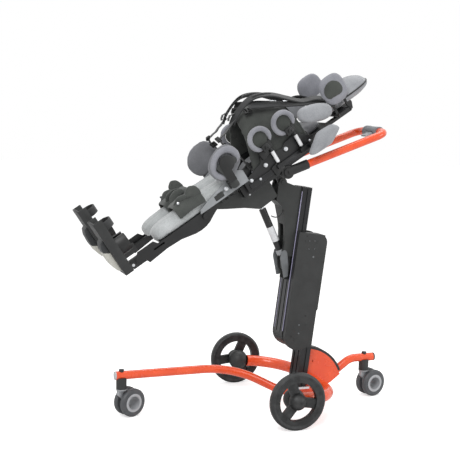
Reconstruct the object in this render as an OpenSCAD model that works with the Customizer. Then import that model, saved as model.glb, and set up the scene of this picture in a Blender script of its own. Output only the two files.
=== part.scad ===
// Pediatric standing frame with a leaning lift column and a tilting body support
// Millimetres, +Z up, +X towards the head end, +Y the far side of the usual side view

/* [Base] */
// Distance from the big wheels' axle forward to the front caster stem
front_reach = 536; // [500:1:600]
// Distance from the axle back to the rear caster stem
rear_reach = 405; // [400:1:450]
// Distance between the middles of the two big wheels
track = 620; // [600:1:680]
// Outer diameter of the spine tube
spine_d = 30; // [27:1:32]
// Outer diameter of the cross tube
cross_d = 42; // [38:1:44]
// Wall of the bent steel tubes
tube_wall = 2.5; // [2:0.5:4]
// Height of the spine tube's middle over the casters
spine_high_z = 150; // [146:1:160]
// Height of the spine tube's middle under the mast
spine_low_z = 45; // [40:1:50]
// Distance from the axle back to the cross tube
cross_back = 186; // [184:1:190]
// Thickness of the gusset's two plates behind the mast
gusset_t = 3; // [2:0.5:4]

/* [Wheels] */
// Diameter of the big wheels
wheel_d = 200; // [190:1:206]
// Width of the big wheels' tyres
wheel_w = 28; // [24:1:32]
// Diameter of the caster wheels
caster_d = 100; // [94:1:102]
// Width of one caster wheel
caster_w = 21; // [18:1:23]
// Trail of the caster wheels behind their stems
caster_trail = 35; // [30:1:40]
// Diameter of the open hub through a caster
caster_hole_d = 46; // [40:1:48]
// Swivel of the front caster as parked, in degrees
front_swivel = 22; // [0:1:40]
// Swivel of the rear caster as parked, in degrees
rear_swivel = 12; // [0:1:40]

/* [Column] */
// Width of both column extrusions
column_w = 76; // [70:1:80]
// Depth of both column extrusions
column_d = 38; // [34:1:40]
// Wall of both column extrusions
column_wall = 4; // [3:0.5:5]
// Lean of the column towards the head end, in degrees
lean = 7.2; // [5:0.1:9]
// Length of the upper column
upper_len = 531; // [500:1:560]
// Top of the lower column above the mast foot's origin
lower_top = 460; // [440:1:464]
// Overall width over the two side covers
cover_span = 120; // [112:1:130]

/* [Body support] */
// Lean of the body support from level, in degrees
body_tilt = 33.5; // [20:0.5:45]
// Distance between the middles of the two leg supports
leg_spacing = 116; // [112:1:124]
// Width of a leg cushion
leg_cushion_w = 92; // [84:1:94]
// Length of a leg cushion
leg_cushion_len = 365; // [340:1:375]
// Thickness of a leg cushion
leg_cushion_t = 46; // [38:1:52]
// Half width of the body frame over its side beams
frame_half = 90; // [86:1:94]
// Height of the vest's arch
vest_h = 223; // [190:1:240]
// Length of a foot plate
foot_len = 205; // [190:1:230]
// Width of a foot plate
foot_w = 92; // [84:1:100]
// Length of the head cushion
head_len = 250; // [220:1:260]
// Width of the head cushion
head_w = 150; // [130:1:154]
// Diameter of the side trunk pads
trunk_pad_d = 94; // [84:1:98]
// Distance between the two trunk pads of one side
trunk_pad_pitch = 102; // [100:1:110]
// Outer diameter of the push bow's tube
bow_d = 28; // [24:1:30]
// Distance between the middles of the push bow's arms
bow_span = 214; // [210:1:230]
// Length of the push bow's arms from joint to corner
bow_len = 408; // [360:1:420]

/* [Hidden] */
$fn = 48;

// Clearances shared by every piece
run_gap = 0.08;
fit_gap = 0.3;
weld_gap = 0.05;
overrun = 2;
far_cut = 400;
// Straights reach a little over the bends they meet, and are a hair thicker there
bend_lap = 0.5;
bend_swell = 0.02;

// Where the middle of the floor outline lies, ahead of the big wheels' axle
origin_ahead = 94.4;

// Colours of the finishes
red = "#EE4B24";
black = "#1E1F20";
dark = "#3C3D3C";
slate = "#5E5F5D";
pale = "#B5B6BA";
steel = "#C9CBCC";

// Base tubes
spine_r = spine_d / 2;
spine_bore = spine_r - tube_wall;
cross_r = cross_d / 2;
cross_bore = cross_r - tube_wall;
hub_z = wheel_d / 2;
spine_fall = 28;
spine_climb = 36;
front_bend_r = 450;
foot_bend_r = 80;
rear_low_r = 50;
rear_high_r = 70;
front_level = 296;
front_tail = 20;
rear_tail = 35;
rear_slope_start = 185;
cap_t = 5;
fall_turn = (front_bend_r + foot_bend_r) * (1 - cos(spine_fall));
spine_drop = spine_high_z - spine_low_z;
front_slope = (spine_drop - fall_turn) / sin(spine_fall);
low_x = -front_reach + front_level + (front_bend_r + foot_bend_r) * sin(spine_fall)
    + front_slope * cos(spine_fall);
climb_turn = (rear_low_r + rear_high_r) * (1 - cos(spine_climb));
rear_slope = (spine_drop - climb_turn) / sin(spine_climb);
high_x = rear_slope_start + (rear_low_r + rear_high_r) * sin(spine_climb)
    + rear_slope * cos(spine_climb);

// Cross tube, in a plane that falls from the hubs to the spine, and its ball ends
leg_in = 44;
leg_y = track / 2 - leg_in;
cross_bend_r = 150;
cross_start = 30;
cross_z = spine_low_z + spine_r + cross_r + fit_gap;
cross_fall = asin((hub_z - cross_z) / cross_back);
ball_r = 37;
ball_in = 32;
ball_y = track / 2 - ball_in;
ball_flat_in = 11;
axle_r = 8;
axle_out = 18;

// Mast foot, and the gusset behind it
foot_plate_t = 8;
foot_plate_w = 100;
foot_plate_x = 85;
foot_plate_len = 75;
foot_top_z = spine_low_z + spine_r + fit_gap + foot_plate_t;
column_x = 23;
column_z = 50;
gusset_x = 170;
gusset_h = 156;
gusset_len = 128;
gusset_in = spine_r + weld_gap;
gusset_shares = [[0.03, 1], [0.94, 0.417], [1, 0.333], [0.72, 0.16], [0.35, 0], [-0.055, 0],
    [-0.055, 0.165], [-0.2, 0.165], [-0.2, 1]];
gusset_arc_rise = 20;
gusset_hole_share = [0.12, 0.7];
gusset_hole_r = 3;
trim_t = 9;

// Casters
socket_r = 18.5;
socket_h = 33;
stem_r = 8;
stem_h = 24;
caster_r = caster_d / 2;
caster_gap = 16;
hub_r = caster_hole_d / 2;
hub_wall = 2.4;
fork_r = 34;
fork_t = 13;
crown_h = 4;
stem_shoulder = 0.5;
fork_shares = [[-0.45, 1], [0.51, 1], [1.72, 0.73], [1.03, 0.51], [0.13, 0.62], [-0.48, 0.8]];
caster_seam_share = 0.45;
caster_edge = 5;
caster_side_gap = 0.4;
dome_r = 9;
dome_h = 6;

// Big wheels
rim_r = wheel_d * 0.42;
rim_w = wheel_w - 6;
rim_in = wheel_d * 0.335;
tyre_edge = 3;
tyre_shoulder = 8;
spoke_t = 12;
spoke_w = 34;
spoke_turn_near = 10;
spoke_turn_far = 55;
hub_ball_r = 31;
hub_back = spoke_t / 2 + 1;
axle_gap = 1;
dimple_r = 4.5;
dimple_d = 1.5;

// Column, in its own leaning frame: t towards the head end, s up the lean
rear_t = 86;
upper_s = 225;
groove_w = 7;
groove_d = 3;
groove_share = [0.28, 0.72];
lower_start = 20;
cover_t0 = 3;
cover_t1 = 112;
cover_step = 5;
cover_step_s = 325;
cover_top = 599;
cover_low = 168;
cover_wall = 3;
cover_corner = 30;
cover_boot_r = 54;
cover_in = column_w / 2 + fit_gap;
cover_out = cover_span / 2;
cover_screw_shares = [[0.28, 0.93], [0.36, 0.09], [0.3, 0.17], [0.7, 0.93]];
screw_r = 3.5;
screw_h = 1.2;
boot_len = 52;
boot_gap = 4;
glide_low = 227;
glide_high = 300;
glide_len = 54;
glide_lip = 12;
glide_half = column_w / 2 + glide_lip;
head_s = 585;
head_t = 10;
lift_tube_r = 11.5;
lift_rod_r = 8;
lift_tube_top = 440;
lift_rod_low = 260;

// Fin bracket on the upper column's front, with the tilt pivot near its top
fin_w = 66;
fin_wall = 5;
fin_foot_s = 506;
fin_reach = 91;
fin_tall = 264;
fin_shares = [[0, 0.96], [0.26, 0.963], [0.66, 0.995], [0.72, 1.03], [0.97, 1.02], [1, 0.95],
    [1, 0.73], [0.77, 0.67], [0.6, 0.511], [0.53, 0.43], [0.473, 0.348], [0.435, 0.25],
    [0.42, 0.17], [0.41, 0.045], [0.3, 0], [0, 0]];
fin_hollow_shares = [[0.3, 1.2], [0.3, 0.9], [0.06, 0.9], [0.06, 0.25], [0.36, 0.25], [0.42, 0.39],
    [0.53, 0.52], [0.68, 0.66], [0.94, 0.74], [1.3, 0.76], [1.3, 1.3]];
fin_cap_t = 3;
pivot_t = -75.9;
pivot_s = 768.5;
pivot_r = 14;
pin_r = 7;
pin_head = 3;
fin_channel_w = 34;
fin_channel_top = 620;
spring_t = -21;
spring_s = 493.2;
ear_t = 6;
ear_in = 15;
ear_h = 88;
ear_drop_share = 0.84;
ear_reach = 38;
ear_shares = [[0, 1], [0.8, 1.02], [1, 0.82], [0.84, 0.48], [0.44, 0.26], [0.4, 0], [0, 0]];
spring_pin_r = 5;
knuckle_r = 11;

// Body frame: u towards the head, y across, w away from the back. The tilt pivot lies here in it
pivot_u = -6;
pivot_w = 9;

// Tilt pivot, gas spring's foot and its head in the base's frame
tilt_x = column_x + pivot_t * cos(lean) + pivot_s * sin(lean);
tilt_z = column_z - pivot_t * sin(lean) + pivot_s * cos(lean);
foot_x = column_x + spring_t * cos(lean) + spring_s * sin(lean);
foot_z = column_z - spring_t * sin(lean) + spring_s * cos(lean);
head_u = -98.2;
head_w_pos = 74.6;
head_x = tilt_x + (head_u - pivot_u) * cos(body_tilt) - (head_w_pos - pivot_w) * sin(body_tilt);
head_z = tilt_z + (head_u - pivot_u) * sin(body_tilt) + (head_w_pos - pivot_w) * cos(body_tilt);
spring_lean = atan2(foot_x - head_x, head_z - foot_z);
spring_len = norm([foot_x - head_x, head_z - foot_z]);

// Gas spring
gas_r = 13;
gas_len = 186;
gas_start = 14;
gas_wall = 3;
gas_base = 6;
gas_rod_r = 5;
gas_rod_start = 112;
gas_eye_r = 11;
gas_head = 14;
gas_slack = 1;

// Release cable's loop between the gas spring and the fin, in the base's frame
cable_d = 4;
cable_sides = 8;
cable_route = [[7, -17, 700], [12, -22, 697], [18, -28, 696], [24, -33, 697], [31, -37, 701],
    [37, -38, 707], [43, -37, 714], [48, -35.3, 722]];

// Seat frame
beam_w = 23;
beam_h = 40;
beam_low = 60;
beam_u0 = -170;
beam_u1 = 145;
beam_wall = 3;
beam_top = beam_low + beam_h;
lug_t = 8;
lug_in = 17;
lug_neck = 26;
lug_lean = -12;
cross_h = 30;
cross_len = 40;
cross_low = beam_top - cross_h;
shell_t = 5;
shell_w0 = beam_top + 1;
shell_u0 = -138;
shell_u1 = 232;
shell_half = frame_half;
tail_len = 90;
tail_half = 32;
tail_drop = 4;
wall_t = 7;
wall_u0 = -128;
wall_len = 273;
wall_h = 53;
wall_shares = [[0, 0], [1, 0], [0.99, 0.58], [0.5, 0.86], [0.08, 1], [0, 0.9]];
hip_plate_len = 63;
hip_plate_u0 = -205;
hip_plate_half = 84;
hip_pin_u = -168;
hip_pin_r = 8;
hip_pin_up = -1;
post_r = 5.5;
post_half = 121;
post_low = 84;
post_high = 194;
post_block = 26;
post_block_h = 15.6;
post_rim = 3;
lug_pad_low_u = -10;
lug_pad_high_u = lug_pad_low_u + trunk_pad_pitch;
slot_back = 34;
slot_ahead = 16;
spring_lug_t = 6;
spring_lug_half = 18;
spring_lug_in = gas_head / 2 + gas_slack + 4;
bow_pin_r = 6;
bow_boss_r = 19;
knob_r = 12;
knob_h = 14;
frame_knob_shares = [[0.4, 0.9], [0.68, 1.05]];

// Belly plates under the seat frame
belly_t = 4;
belly_in = frame_half - beam_w - belly_t - weld_gap;
belly_len = 220;
belly_h = 118;
belly_u0 = -278;
belly_w0 = -13;
belly_shares = [[0, 0.915], [0.02, 0.79], [0.14, 0.64], [0.42, 0.32], [0.63, 0.01], [0.66, 0],
    [0.97, 0.02], [0.99, 0.04], [1, 0.57], [0.745, 0.57], [0.7, 0.585], [0.65, 0.65],
    [0.605, 0.74], [0.48, 0.8], [0.42, 0.915]];
belly_slot_l = 15;
belly_slot_w = 6;
belly_slot_shares = [0.11, 0.22, 0.33, 0.44];
belly_strip_w = 11;
belly_strip_t = 3;
belly_strip_h = 104;

// Soft forms: shares of length and width, then of height, station by station
pad_shares = [[0.86, 0], [0.96, 0.08], [1, 0.3], [0.99, 0.58], [0.93, 0.8], [0.76, 0.94],
    [0.42, 1]];
pad_sides = 24;
dome_shares = [[0.9, 0], [1, 0.14], [0.99, 0.34], [0.9, 0.62], [0.7, 0.84], [0.42, 0.96],
    [0.16, 1]];
body_pad_t = 26;
body_pad_u0 = -118;
body_pad_u1 = 228;
vest_skin = 7;
vest_base = shell_w0 + shell_t + 6;
vest_half = frame_half + 7 * fit_gap + vest_skin;
vest_len = 247;
vest_mid_u = 16;
vest_count = 12;
vest_shares = [[-0.5, 0.27, 0.86, 0.9], [-0.34, 0.22, 0.92, 0.97], [-0.19, 0.19, 0.93, 1],
    [-0.03, 0.14, 0.89, 1], [0.14, 0.1, 0.83, 1], [0.32, 0.04, 0.75, 1], [0.5, 0, 0.63, 1]];
shoulder_l = 138;
shoulder_w = 66;
shoulder_t = 32;
shoulder_in = vest_half + fit_gap;
shoulder_pos = [196, 172];
shoulder_lean = 22;
strap_w = 25;
strap_t = 3;
strap_in = 45;
strap_len = 247;
strap_low = 214;
strap_h = 126;
strap_shares = [[-0.2, 0.559], [-0.12, 0.73], [0, 0.88], [0.14, 0.935], [0.28, 0.87], [0.45, 0.7],
    [0.6, 0.4], [0.75, 0.14], [0.87, -0.04]];

// Leg supports
leg_u1 = -146;
leg_base_w = shell_w0 + shell_t + fit_gap;
leg_base_t = 5;
leg_base_len = 360;
leg_base_gap = 8;
leg_base_in = 20;
leg_plate_out = 104;
leg_plate_t = 4;
leg_plate_len = 329;
leg_plate_h = 66;
leg_plate_u0 = -609;
leg_plate_w0 = 61;
leg_plate_shares = [[0, 0.485], [0.089, 0.42], [0.112, 0.18], [0.343, 0.26], [0.518, 0.21],
    [0.6, 0.106], [0.675, 0.015], [0.746, -0.015], [0.814, 0.015], [0.87, 0.1], [0.93, 0.26],
    [1, 0.424], [1, 0.755], [0.29, 0.755], [0.254, 1], [0.059, 1], [0.024, 0.86], [0, 0.77]];
leg_slot_share = [0.215, 0.56];
leg_slot_l = 44;
leg_slot_w = 6;
leg_knob_share = [[0.86, 0.5]];
leg_knob_r = 11;
leg_knob_h = 9;
foot_bar_w = 12;
foot_bar_h = 18;
foot_bar_y = 80;
foot_bar_u0 = -590;
foot_bar_len = 110;
strut_len = 24;
strut_us = [-500, -330];
strut_h = 14;
side_plate_t = 4;
side_plate_in = leg_plate_out + weld_gap;
side_plate_out = side_plate_in + side_plate_t;
side_plate_len = 206;
side_plate_h = 58;
side_plate_u0 = -337;
side_plate_w0 = 108;
side_plate_shares = [[0, 0], [1, 0], [1, 0.74], [0.9, 1], [0.72, 0.9], [0.5, 0.66], [0.2, 0.4],
    [0.03, 0.24]];
side_slot_share = [0.4, 0.3];
side_slot_l = 30;
side_slot_w = 9;
side_knob_r = 6;
side_knob_h = 4;

// Leg cushion with two sewn channels along its top, thinner at the foot end
leg_section_shares = [[0.46, 0, 0], [0.5, 0.3, 0], [0.48, 0.68, 0], [0.4, 0.9, 0],
    [0.29, 0.95, 0], [0.24, 0.97, 0.12], [0.19, 0.98, 0], [0.06, 1, 0]];
leg_station_shares = [[0, 0.5, 0.6, 0], [0.02, 0.78, 0.8, 0.3], [0.06, 0.92, 0.92, 1],
    [0.14, 1, 0.98, 1], [0.3, 1, 1, 1], [0.5, 0.97, 1.1, 1], [0.7, 1, 1.04, 1],
    [0.88, 1, 0.98, 1], [0.97, 0.94, 0.86, 0.4], [1, 0.8, 0.6, 0]];
wrap_u = -352;
wrap_len = 112;
wrap_skin = 6;
wrap_gap = 0.4;
wrap_low = 22;
wrap_count = 10;
wrap_shares = [[-0.5, 0.62], [-0.36, 0.9], [0, 1], [0.32, 0.92], [0.5, 0.72]];
wrap_puff = 16;

// Hip pads: a full cushion inside a padded crescent, on an arm that slides on the side plate
hip_pad_u = -176;
hip_pad_w = 212;
hip_pad_r = 41;
hip_pad_fat = 26;
hip_pad_deep = 16;
hip_pad_face = 15;
hip_pad_stretch = 1.22;
hip_pad_lean = -24;
hip_gap_start = 118;
hip_gap_sweep = 300;
hip_arm_w = 30;
hip_arm_t = 6;
hip_arm_u = -188;
hip_arm_w0 = 122;
hip_arm_len = 92;
hip_face_r = 27;
hip_crank_w = 148;

// Foot supports
carriage_u0 = -628;
carriage_len = 68;
carriage_wall = 4;
carriage_drop = 6;
carriage_rise = 8;
foot_u = -668;
foot_t = 33;
foot_wall = 4;
foot_floor = 8;
foot_heel = 16;
foot_low = 91;
foot_y = 88;
foot_corner = 14;
far_foot_shift = 28;
foot_hinge_u = -624;
foot_slot_u0 = -616.5;
foot_hinge_w = 97;
foot_knuckle_r = 10;
foot_pin_r = 5;
foot_ear_t = 3.4;
sole_t = 21;
sole_low_share = 0.09;
sole_len_share = 0.6;
sole_w = 56;
sole_shares = [[0, 0], [0.55, 0.07], [0.9, 0.28], [1, 0.55], [0.88, 0.8], [0.5, 0.95], [0, 1]];
cup_r = 38;
cup_t = 7;
cup_h = 66;
cup_rise = 92;
cup_deep_share = 0.75;
loop_r = 34;
loop_t = 4;
loop_w = 28;
loop_rise = 162;
loop_up = 26;

// Head support
head_bar_w = 30;
head_bar_t = 10;
head_bar_in = 70;
head_bar_u1 = 362;
head_block_u = 265;
head_block_len = 105;
head_block_half = 34;
head_block_shares = [[0, 0.97], [0.2, 0.27], [0.34, 0], [0.92, 0], [1, 0.6], [0.98, 1]];
head_cushion_u0 = 221;
head_cushion_t = 66;
head_cushion_w0 = 122;
head_wing_w = 100;
head_wall = 3;
head_wing_len = 40;
head_wing_t = 12;
head_pin_r = 4;
head_pad_u = 306;
head_pad_w = 205;
head_pad_l = 100;
head_pad_h = 92;
head_pad_t = 20;
head_pad_out = 6;
head_stem_t = 8;
head_stem_w = 7;

// Trunk pads
trunk_ring_t = 20;
trunk_ring_deep = 20;
trunk_block_back = 28;
trunk_block_ahead = 9;
trunk_block_in = 10;
trunk_block_out = 8;
trunk_block_w = 163;
trunk_block_h = 34;
trunk_pad_back = 22;
trunk_pad_w = 214;
trunk_disc_t = 8;

// Arm pads
arm_pad_u = 160;
arm_pad_w = 92;
arm_pad_l = 158;
arm_pad_h = 56;
arm_pad_t = 24;
arm_pad_half = 148;
arm_pad_lean = -10;
arm_hinge_u = 126;
arm_hinge_r = 12;
arm_hinge_w = 80;
arm_boss_len = 18;
arm_end_gap = 2;
arm_pin_r = 5;

// Push bow and its joints
bow_u = 2;
bow_w = 53;
bow_turn = -13.6;
bow_corner_r = 40;
bow_start = 56;
bow_disc_r = 23;
bow_disc_t = 20;
bow_cap_r = 15;
bow_cap_t = 4;
sleeve_len = 82;
sleeve_r = 17;
grip_r = 19;
grip_len = 104;
grip_rib_d = 2;
grip_rib_w = 4;
grip_rib_pitch = 9;
grip_slot = 44;
lever_l = 40;
lever_w = 22;
lever_t = 6;
lever_hub_r = 6;
lever_pin_r = 2.5;
lever_out = 5;

// Moves its children into the leaning column's frame
module in_column() {
    translate([column_x, 0, column_z]) rotate([0, lean, 0]) children();
}

// Moves its children into the tilting body's frame
module in_body() {
    translate([tilt_x, 0, tilt_z]) rotate([0, -body_tilt, 0]) translate([-pivot_u, 0, -pivot_w])
        children();
}

// Moves its children into the gas spring's frame, z along the spring
module in_spring() {
    translate([foot_x, 0, foot_z]) rotate([0, -spring_lean, 0]) children();
}

// Keeps far-side pieces as drawn and mirrors them for the near side
module on_side(side) {
    if (side > 0) children();
    else mirror([0, 1, 0]) children();
}

module both_sides() {
    for (side = [-1, 1]) on_side(side) children();
}

// Cylinder across the part, centred on its own middle
module across(r, l) {
    rotate([90, 0, 0]) cylinder(r = r, h = l, center = true);
}

// Round bar across the part between two distances from its middle plane
module across_from(r, y0, y1) {
    translate([0, y1, 0]) rotate([90, 0, 0]) cylinder(r = r, h = y1 - y0);
}

// Box between two corners
module box(a, b) {
    translate(a) cube(b - a);
}

// Plate in the x-z plane from a table of shares, from y0 outwards
module side_plate(shares, length, height, y0, t) {
    translate([0, y0 + t, 0]) rotate([90, 0, 0])
        linear_extrude(t) polygon([for (p = shares) [p[0] * length, p[1] * height]]);
}

module ring(ro, ri) {
    difference() {
        circle(ro);
        circle(ri);
    }
}

// Bent tube in the x-z plane: [length] is a straight, [radius, angle] a bend
module run(parts, ro, ri, i = 0) {
    if (i < len(parts)) {
        if (len(parts[i]) == 1) {
            lap0 = i > 0 ? bend_lap : 0;
            lap1 = i < len(parts) - 1 ? bend_lap : 0;
            translate([-lap0, 0, 0]) rotate([0, 90, 0])
                linear_extrude(parts[i][0] + lap0 + lap1) ring(ro + bend_swell, ri - bend_swell);
            translate([parts[i][0], 0, 0]) run(parts, ro, ri, i + 1);
        } else {
            r = parts[i][0];
            a = abs(parts[i][1]);
            up = sign(parts[i][1]);
            rotate([up < 0 ? 180 : 0, 0, 0]) translate([0, 0, r]) rotate([0, 90, 0])
                rotate([90, 0, 0]) rotate_extrude(angle = a) translate([r, 0]) ring(ro, ri);
            translate([r * sin(a), 0, up * r * (1 - cos(a))]) rotate([0, -up * a, 0])
                run(parts, ro, ri, i + 1);
        }
    }
}

// Closed skin through rings of points, each ring an even count of points
module loft(rings) {
    n = len(rings[0]);
    m = len(rings);
    half = n / 2;
    polyhedron([for (r = rings) each r], concat(
        [for (i = [0 : half - 2]) each [[i, i + 1, n - 2 - i], [i, n - 2 - i, n - 1 - i]]],
        [for (k = [0 : m - 2], i = [0 : n - 1])
            let (j = (i + 1) % n, a = k * n, b = a + n)
                each [[a + i, b + i, b + j], [a + i, b + j, a + j]]],
        [for (i = [0 : half - 2]) let (a = (m - 1) * n)
            each [[a + n - 2 - i, a + i + 1, a + i], [a + n - 1 - i, a + n - 2 - i, a + i]]]));
}

function bulge(v, power) = sign(v) * pow(abs(v), 2 / power);

// Crowned pad lying on z = 0, its sides drawn in a little between the corners
module pad(length, width, thick, power = 3.2, pinch = 0.03, shares = pad_shares) {
    loft([for (s = shares) [for (i = [0 : pad_sides - 1])
        let (a = 360 * (i + 0.5) / pad_sides, k = s[0] * (1 - pinch * pow(cos(2 * a), 2)))
            [length / 2 * k * bulge(cos(a), power), width / 2 * k * bulge(sin(a), power),
                thick * s[1]]]]);
}

// Part of a padded ring in the x-y plane, its ends rounded
module crescent(radius, thick, depth, start, sweep, stretch = 1, steps = 14, sides = 10) {
    ends = [0.45, 0.85];
    loft([for (k = [0 : steps])
        let (a = start + sweep * k / steps, e = min(k, steps - k), f = e < 2 ? ends[e] : 1)
            [for (i = [0 : sides - 1])
                let (b = -360 * (i + 0.5) / sides, q = radius + thick / 2 * f * cos(b))
                    [q * cos(a) * stretch, q * sin(a), depth / 2 * f * sin(b)]]]);
}

// Flat strip through points, each [x, z], lying across y
module strip(points, y, width, thick) {
    n = len(points);
    loft([for (k = [0 : n - 1])
        let (p = points[max(0, k - 1)], q = points[min(n - 1, k + 1)],
            d = (q - p) / norm(q - p), m = [-d[1], d[0]] * thick / 2)
                [[points[k][0] - m[0], y - width / 2, points[k][1] - m[1]],
                    [points[k][0] - m[0], y + width / 2, points[k][1] - m[1]],
                    [points[k][0] + m[0], y + width / 2, points[k][1] + m[1]],
                    [points[k][0] + m[0], y - width / 2, points[k][1] + m[1]]]]);
}

// Base

module spine_tube() {
    color(red) difference() {
        translate([-front_reach - front_tail, 0, spine_high_z])
            run([[front_level + front_tail], [front_bend_r, -spine_fall], [front_slope],
                [foot_bend_r, spine_fall], [rear_slope_start - low_x], [rear_low_r, spine_climb],
                [rear_slope], [rear_high_r, -spine_climb], [rear_reach + rear_tail - high_x]],
                spine_r, spine_bore);
        for (x = [-front_reach, rear_reach]) translate([x, 0, spine_high_z])
            cylinder(r = stem_r / 2, h = far_cut, center = true);
    }
}

// Bent tube from ball to ball, passing over the spine behind the mast
module cross_tube() {
    lateral = 2 * (leg_y - cross_bend_r);
    arm = cross_back / cos(cross_fall) - cross_bend_r - cross_start;
    color(red) translate([0, leg_y, hub_z]) rotate([0, cross_fall, 0])
        translate([cross_start, 0, 0]) rotate([90, 0, 0])
            run([[arm], [cross_bend_r, 90], [lateral], [cross_bend_r, 90], [arm]], cross_r,
                cross_bore);
}

// Dark balls on the cross tube's ends with the axle pins, and the sockets over the casters
module caster_sockets() {
    color(dark) {
        both_sides() difference() {
            union() {
                translate([0, ball_y, hub_z]) sphere(r = ball_r);
                translate([0, 0, hub_z]) across_from(axle_r, ball_y, ball_y + ball_in + axle_out);
            }
            difference() {
                translate([-ball_r, ball_y + ball_in - ball_flat_in, hub_z - ball_r])
                    cube(2 * ball_r);
                translate([0, 0, hub_z]) across(axle_r, far_cut * 2);
            }
            translate([0, leg_y, hub_z]) rotate([0, cross_fall, 0])
                translate([cross_start - overrun, 0, 0]) rotate([0, 90, 0])
                    cylinder(r = cross_r + weld_gap, h = far_cut);
        }
        for (x = [-front_reach, rear_reach]) translate([x, 0, spine_high_z]) {
            difference() {
                translate([0, 0, -spine_r - socket_h]) cylinder(r = socket_r, h = socket_h + spine_r / 2);
                rotate([0, 90, 0]) cylinder(r = spine_r + weld_gap, h = far_cut, center = true);
                translate([0, 0, -spine_r - socket_h - overrun])
                    cylinder(r = stem_r + run_gap, h = stem_h + 2 * overrun);
            }
            difference() {
                cylinder(r = dome_r, h = spine_r + dome_h);
                rotate([0, 90, 0]) cylinder(r = spine_r + weld_gap, h = far_cut, center = true);
            }
        }
    }
}

function gusset_point(i) = [gusset_x + gusset_shares[i][0] * gusset_len,
    spine_low_z + gusset_shares[i][1] * gusset_h];

// Points of the gusset's arched top edge, moved out along its radius by grow
function gusset_arc(grow, steps = 10) =
    let (a = gusset_point(0), b = gusset_point(1), c = norm(b - a),
        r = (c * c / 4 + gusset_arc_rise * gusset_arc_rise) / (2 * gusset_arc_rise),
        d = (b - a) / c, n = [-d[1], d[0]], m = (a + b) / 2 - n * (r - gusset_arc_rise),
        half = asin(c / 2 / r), mid = atan2(n[1], n[0]))
            [for (k = [0 : steps]) let (t = mid + half - 2 * half * k / steps)
                m + (r + grow) * [cos(t), sin(t)]];

// The gusset's arched edge as a band between two distances outside it
module gusset_band(near, far, width) {
    n = 10;
    translate([0, width / 2, 0]) rotate([90, 0, 0]) linear_extrude(width)
        polygon(concat(gusset_arc(near, n), [for (k = [n : -1 : 0]) gusset_arc(far, n)[k]]));
}

// The spine's rear slope as a bar, for clearing what sits on it
module rear_slope_bar() {
    translate([rear_slope_start + rear_low_r * sin(spine_climb), 0,
        spine_low_z + rear_low_r * (1 - cos(spine_climb))]) rotate([0, 90 - spine_climb, 0])
            cylinder(r = spine_r + weld_gap, h = 3 * rear_slope, center = true);
}

// Two plates beside the spine under one arched web
module gusset() {
    color(red) difference() {
        union() {
            both_sides() translate([0, gusset_in + gusset_t, 0]) rotate([90, 0, 0])
                linear_extrude(gusset_t) polygon(concat(gusset_arc(0),
                    [for (i = [2 : len(gusset_shares) - 1]) gusset_point(i)]));
            gusset_band(-gusset_t, 0, 2 * gusset_in);
        }
        rear_slope_bar();
        translate([0, 0, hub_z]) rotate([0, cross_fall, 0])
            translate([cross_back / cos(cross_fall), 0, 0]) across(cross_r + weld_gap, far_cut);
        in_column() translate([rear_t - far_cut + column_d + fit_gap, -far_cut / 2, 0])
            cube(far_cut);
        translate([gusset_x + gusset_len * gusset_hole_share[0], 0,
            spine_low_z + gusset_h * gusset_hole_share[1]]) across(gusset_hole_r, far_cut);
    }
}

module caps_and_trim() {
    color(pale) translate([-front_reach - front_tail - cap_t, 0, spine_high_z])
        rotate([0, 90, 0]) cylinder(r = spine_r, h = cap_t);
    color(black) {
        translate([rear_reach + rear_tail, 0, spine_high_z]) rotate([0, 90, 0])
            cylinder(r = spine_r, h = cap_t);
        difference() {
            gusset_band(weld_gap, trim_t, 2 * (gusset_in + gusset_t));
            rear_slope_bar();
        }
    }
}

module column_section() {
    core = column_wall + groove_d;
    difference() {
        square([column_d, column_w]);
        translate([core, core]) square([column_d - 2 * core, column_w - 2 * core]);
        for (y = [-overrun, column_w - groove_d])
            translate([column_d / 2 - groove_w / 2, y]) square([groove_w, groove_d + overrun]);
        for (x = [-overrun, column_d - groove_d], k = groove_share)
            translate([x, column_w * k - groove_w / 2]) square([groove_d + overrun, groove_w]);
    }
}

// Everything below the top of the mast's foot plate
module under_foot() {
    translate([column_x, -far_cut / 2, foot_top_z - far_cut]) cube(far_cut);
}

module lower_column() {
    color(black) difference() {
        in_column() translate([rear_t, -column_w / 2, lower_start])
            linear_extrude(lower_top - lower_start) column_section();
        under_foot();
    }
}

// Foot plate and the lift strut's fixed tube inside the lower column
module mast_foot() {
    color(steel) {
        translate([foot_plate_x, -foot_plate_w / 2, foot_top_z - foot_plate_t])
            cube([foot_plate_len, foot_plate_w, foot_plate_t]);
        difference() {
            in_column() translate([rear_t + column_d / 2, 0, lower_start]) difference() {
                cylinder(r = lift_tube_r, h = lift_tube_top - lower_start);
                translate([0, 0, -overrun]) cylinder(r = lift_rod_r + run_gap, h = lower_top);
            }
            under_foot();
        }
    }
}

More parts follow.
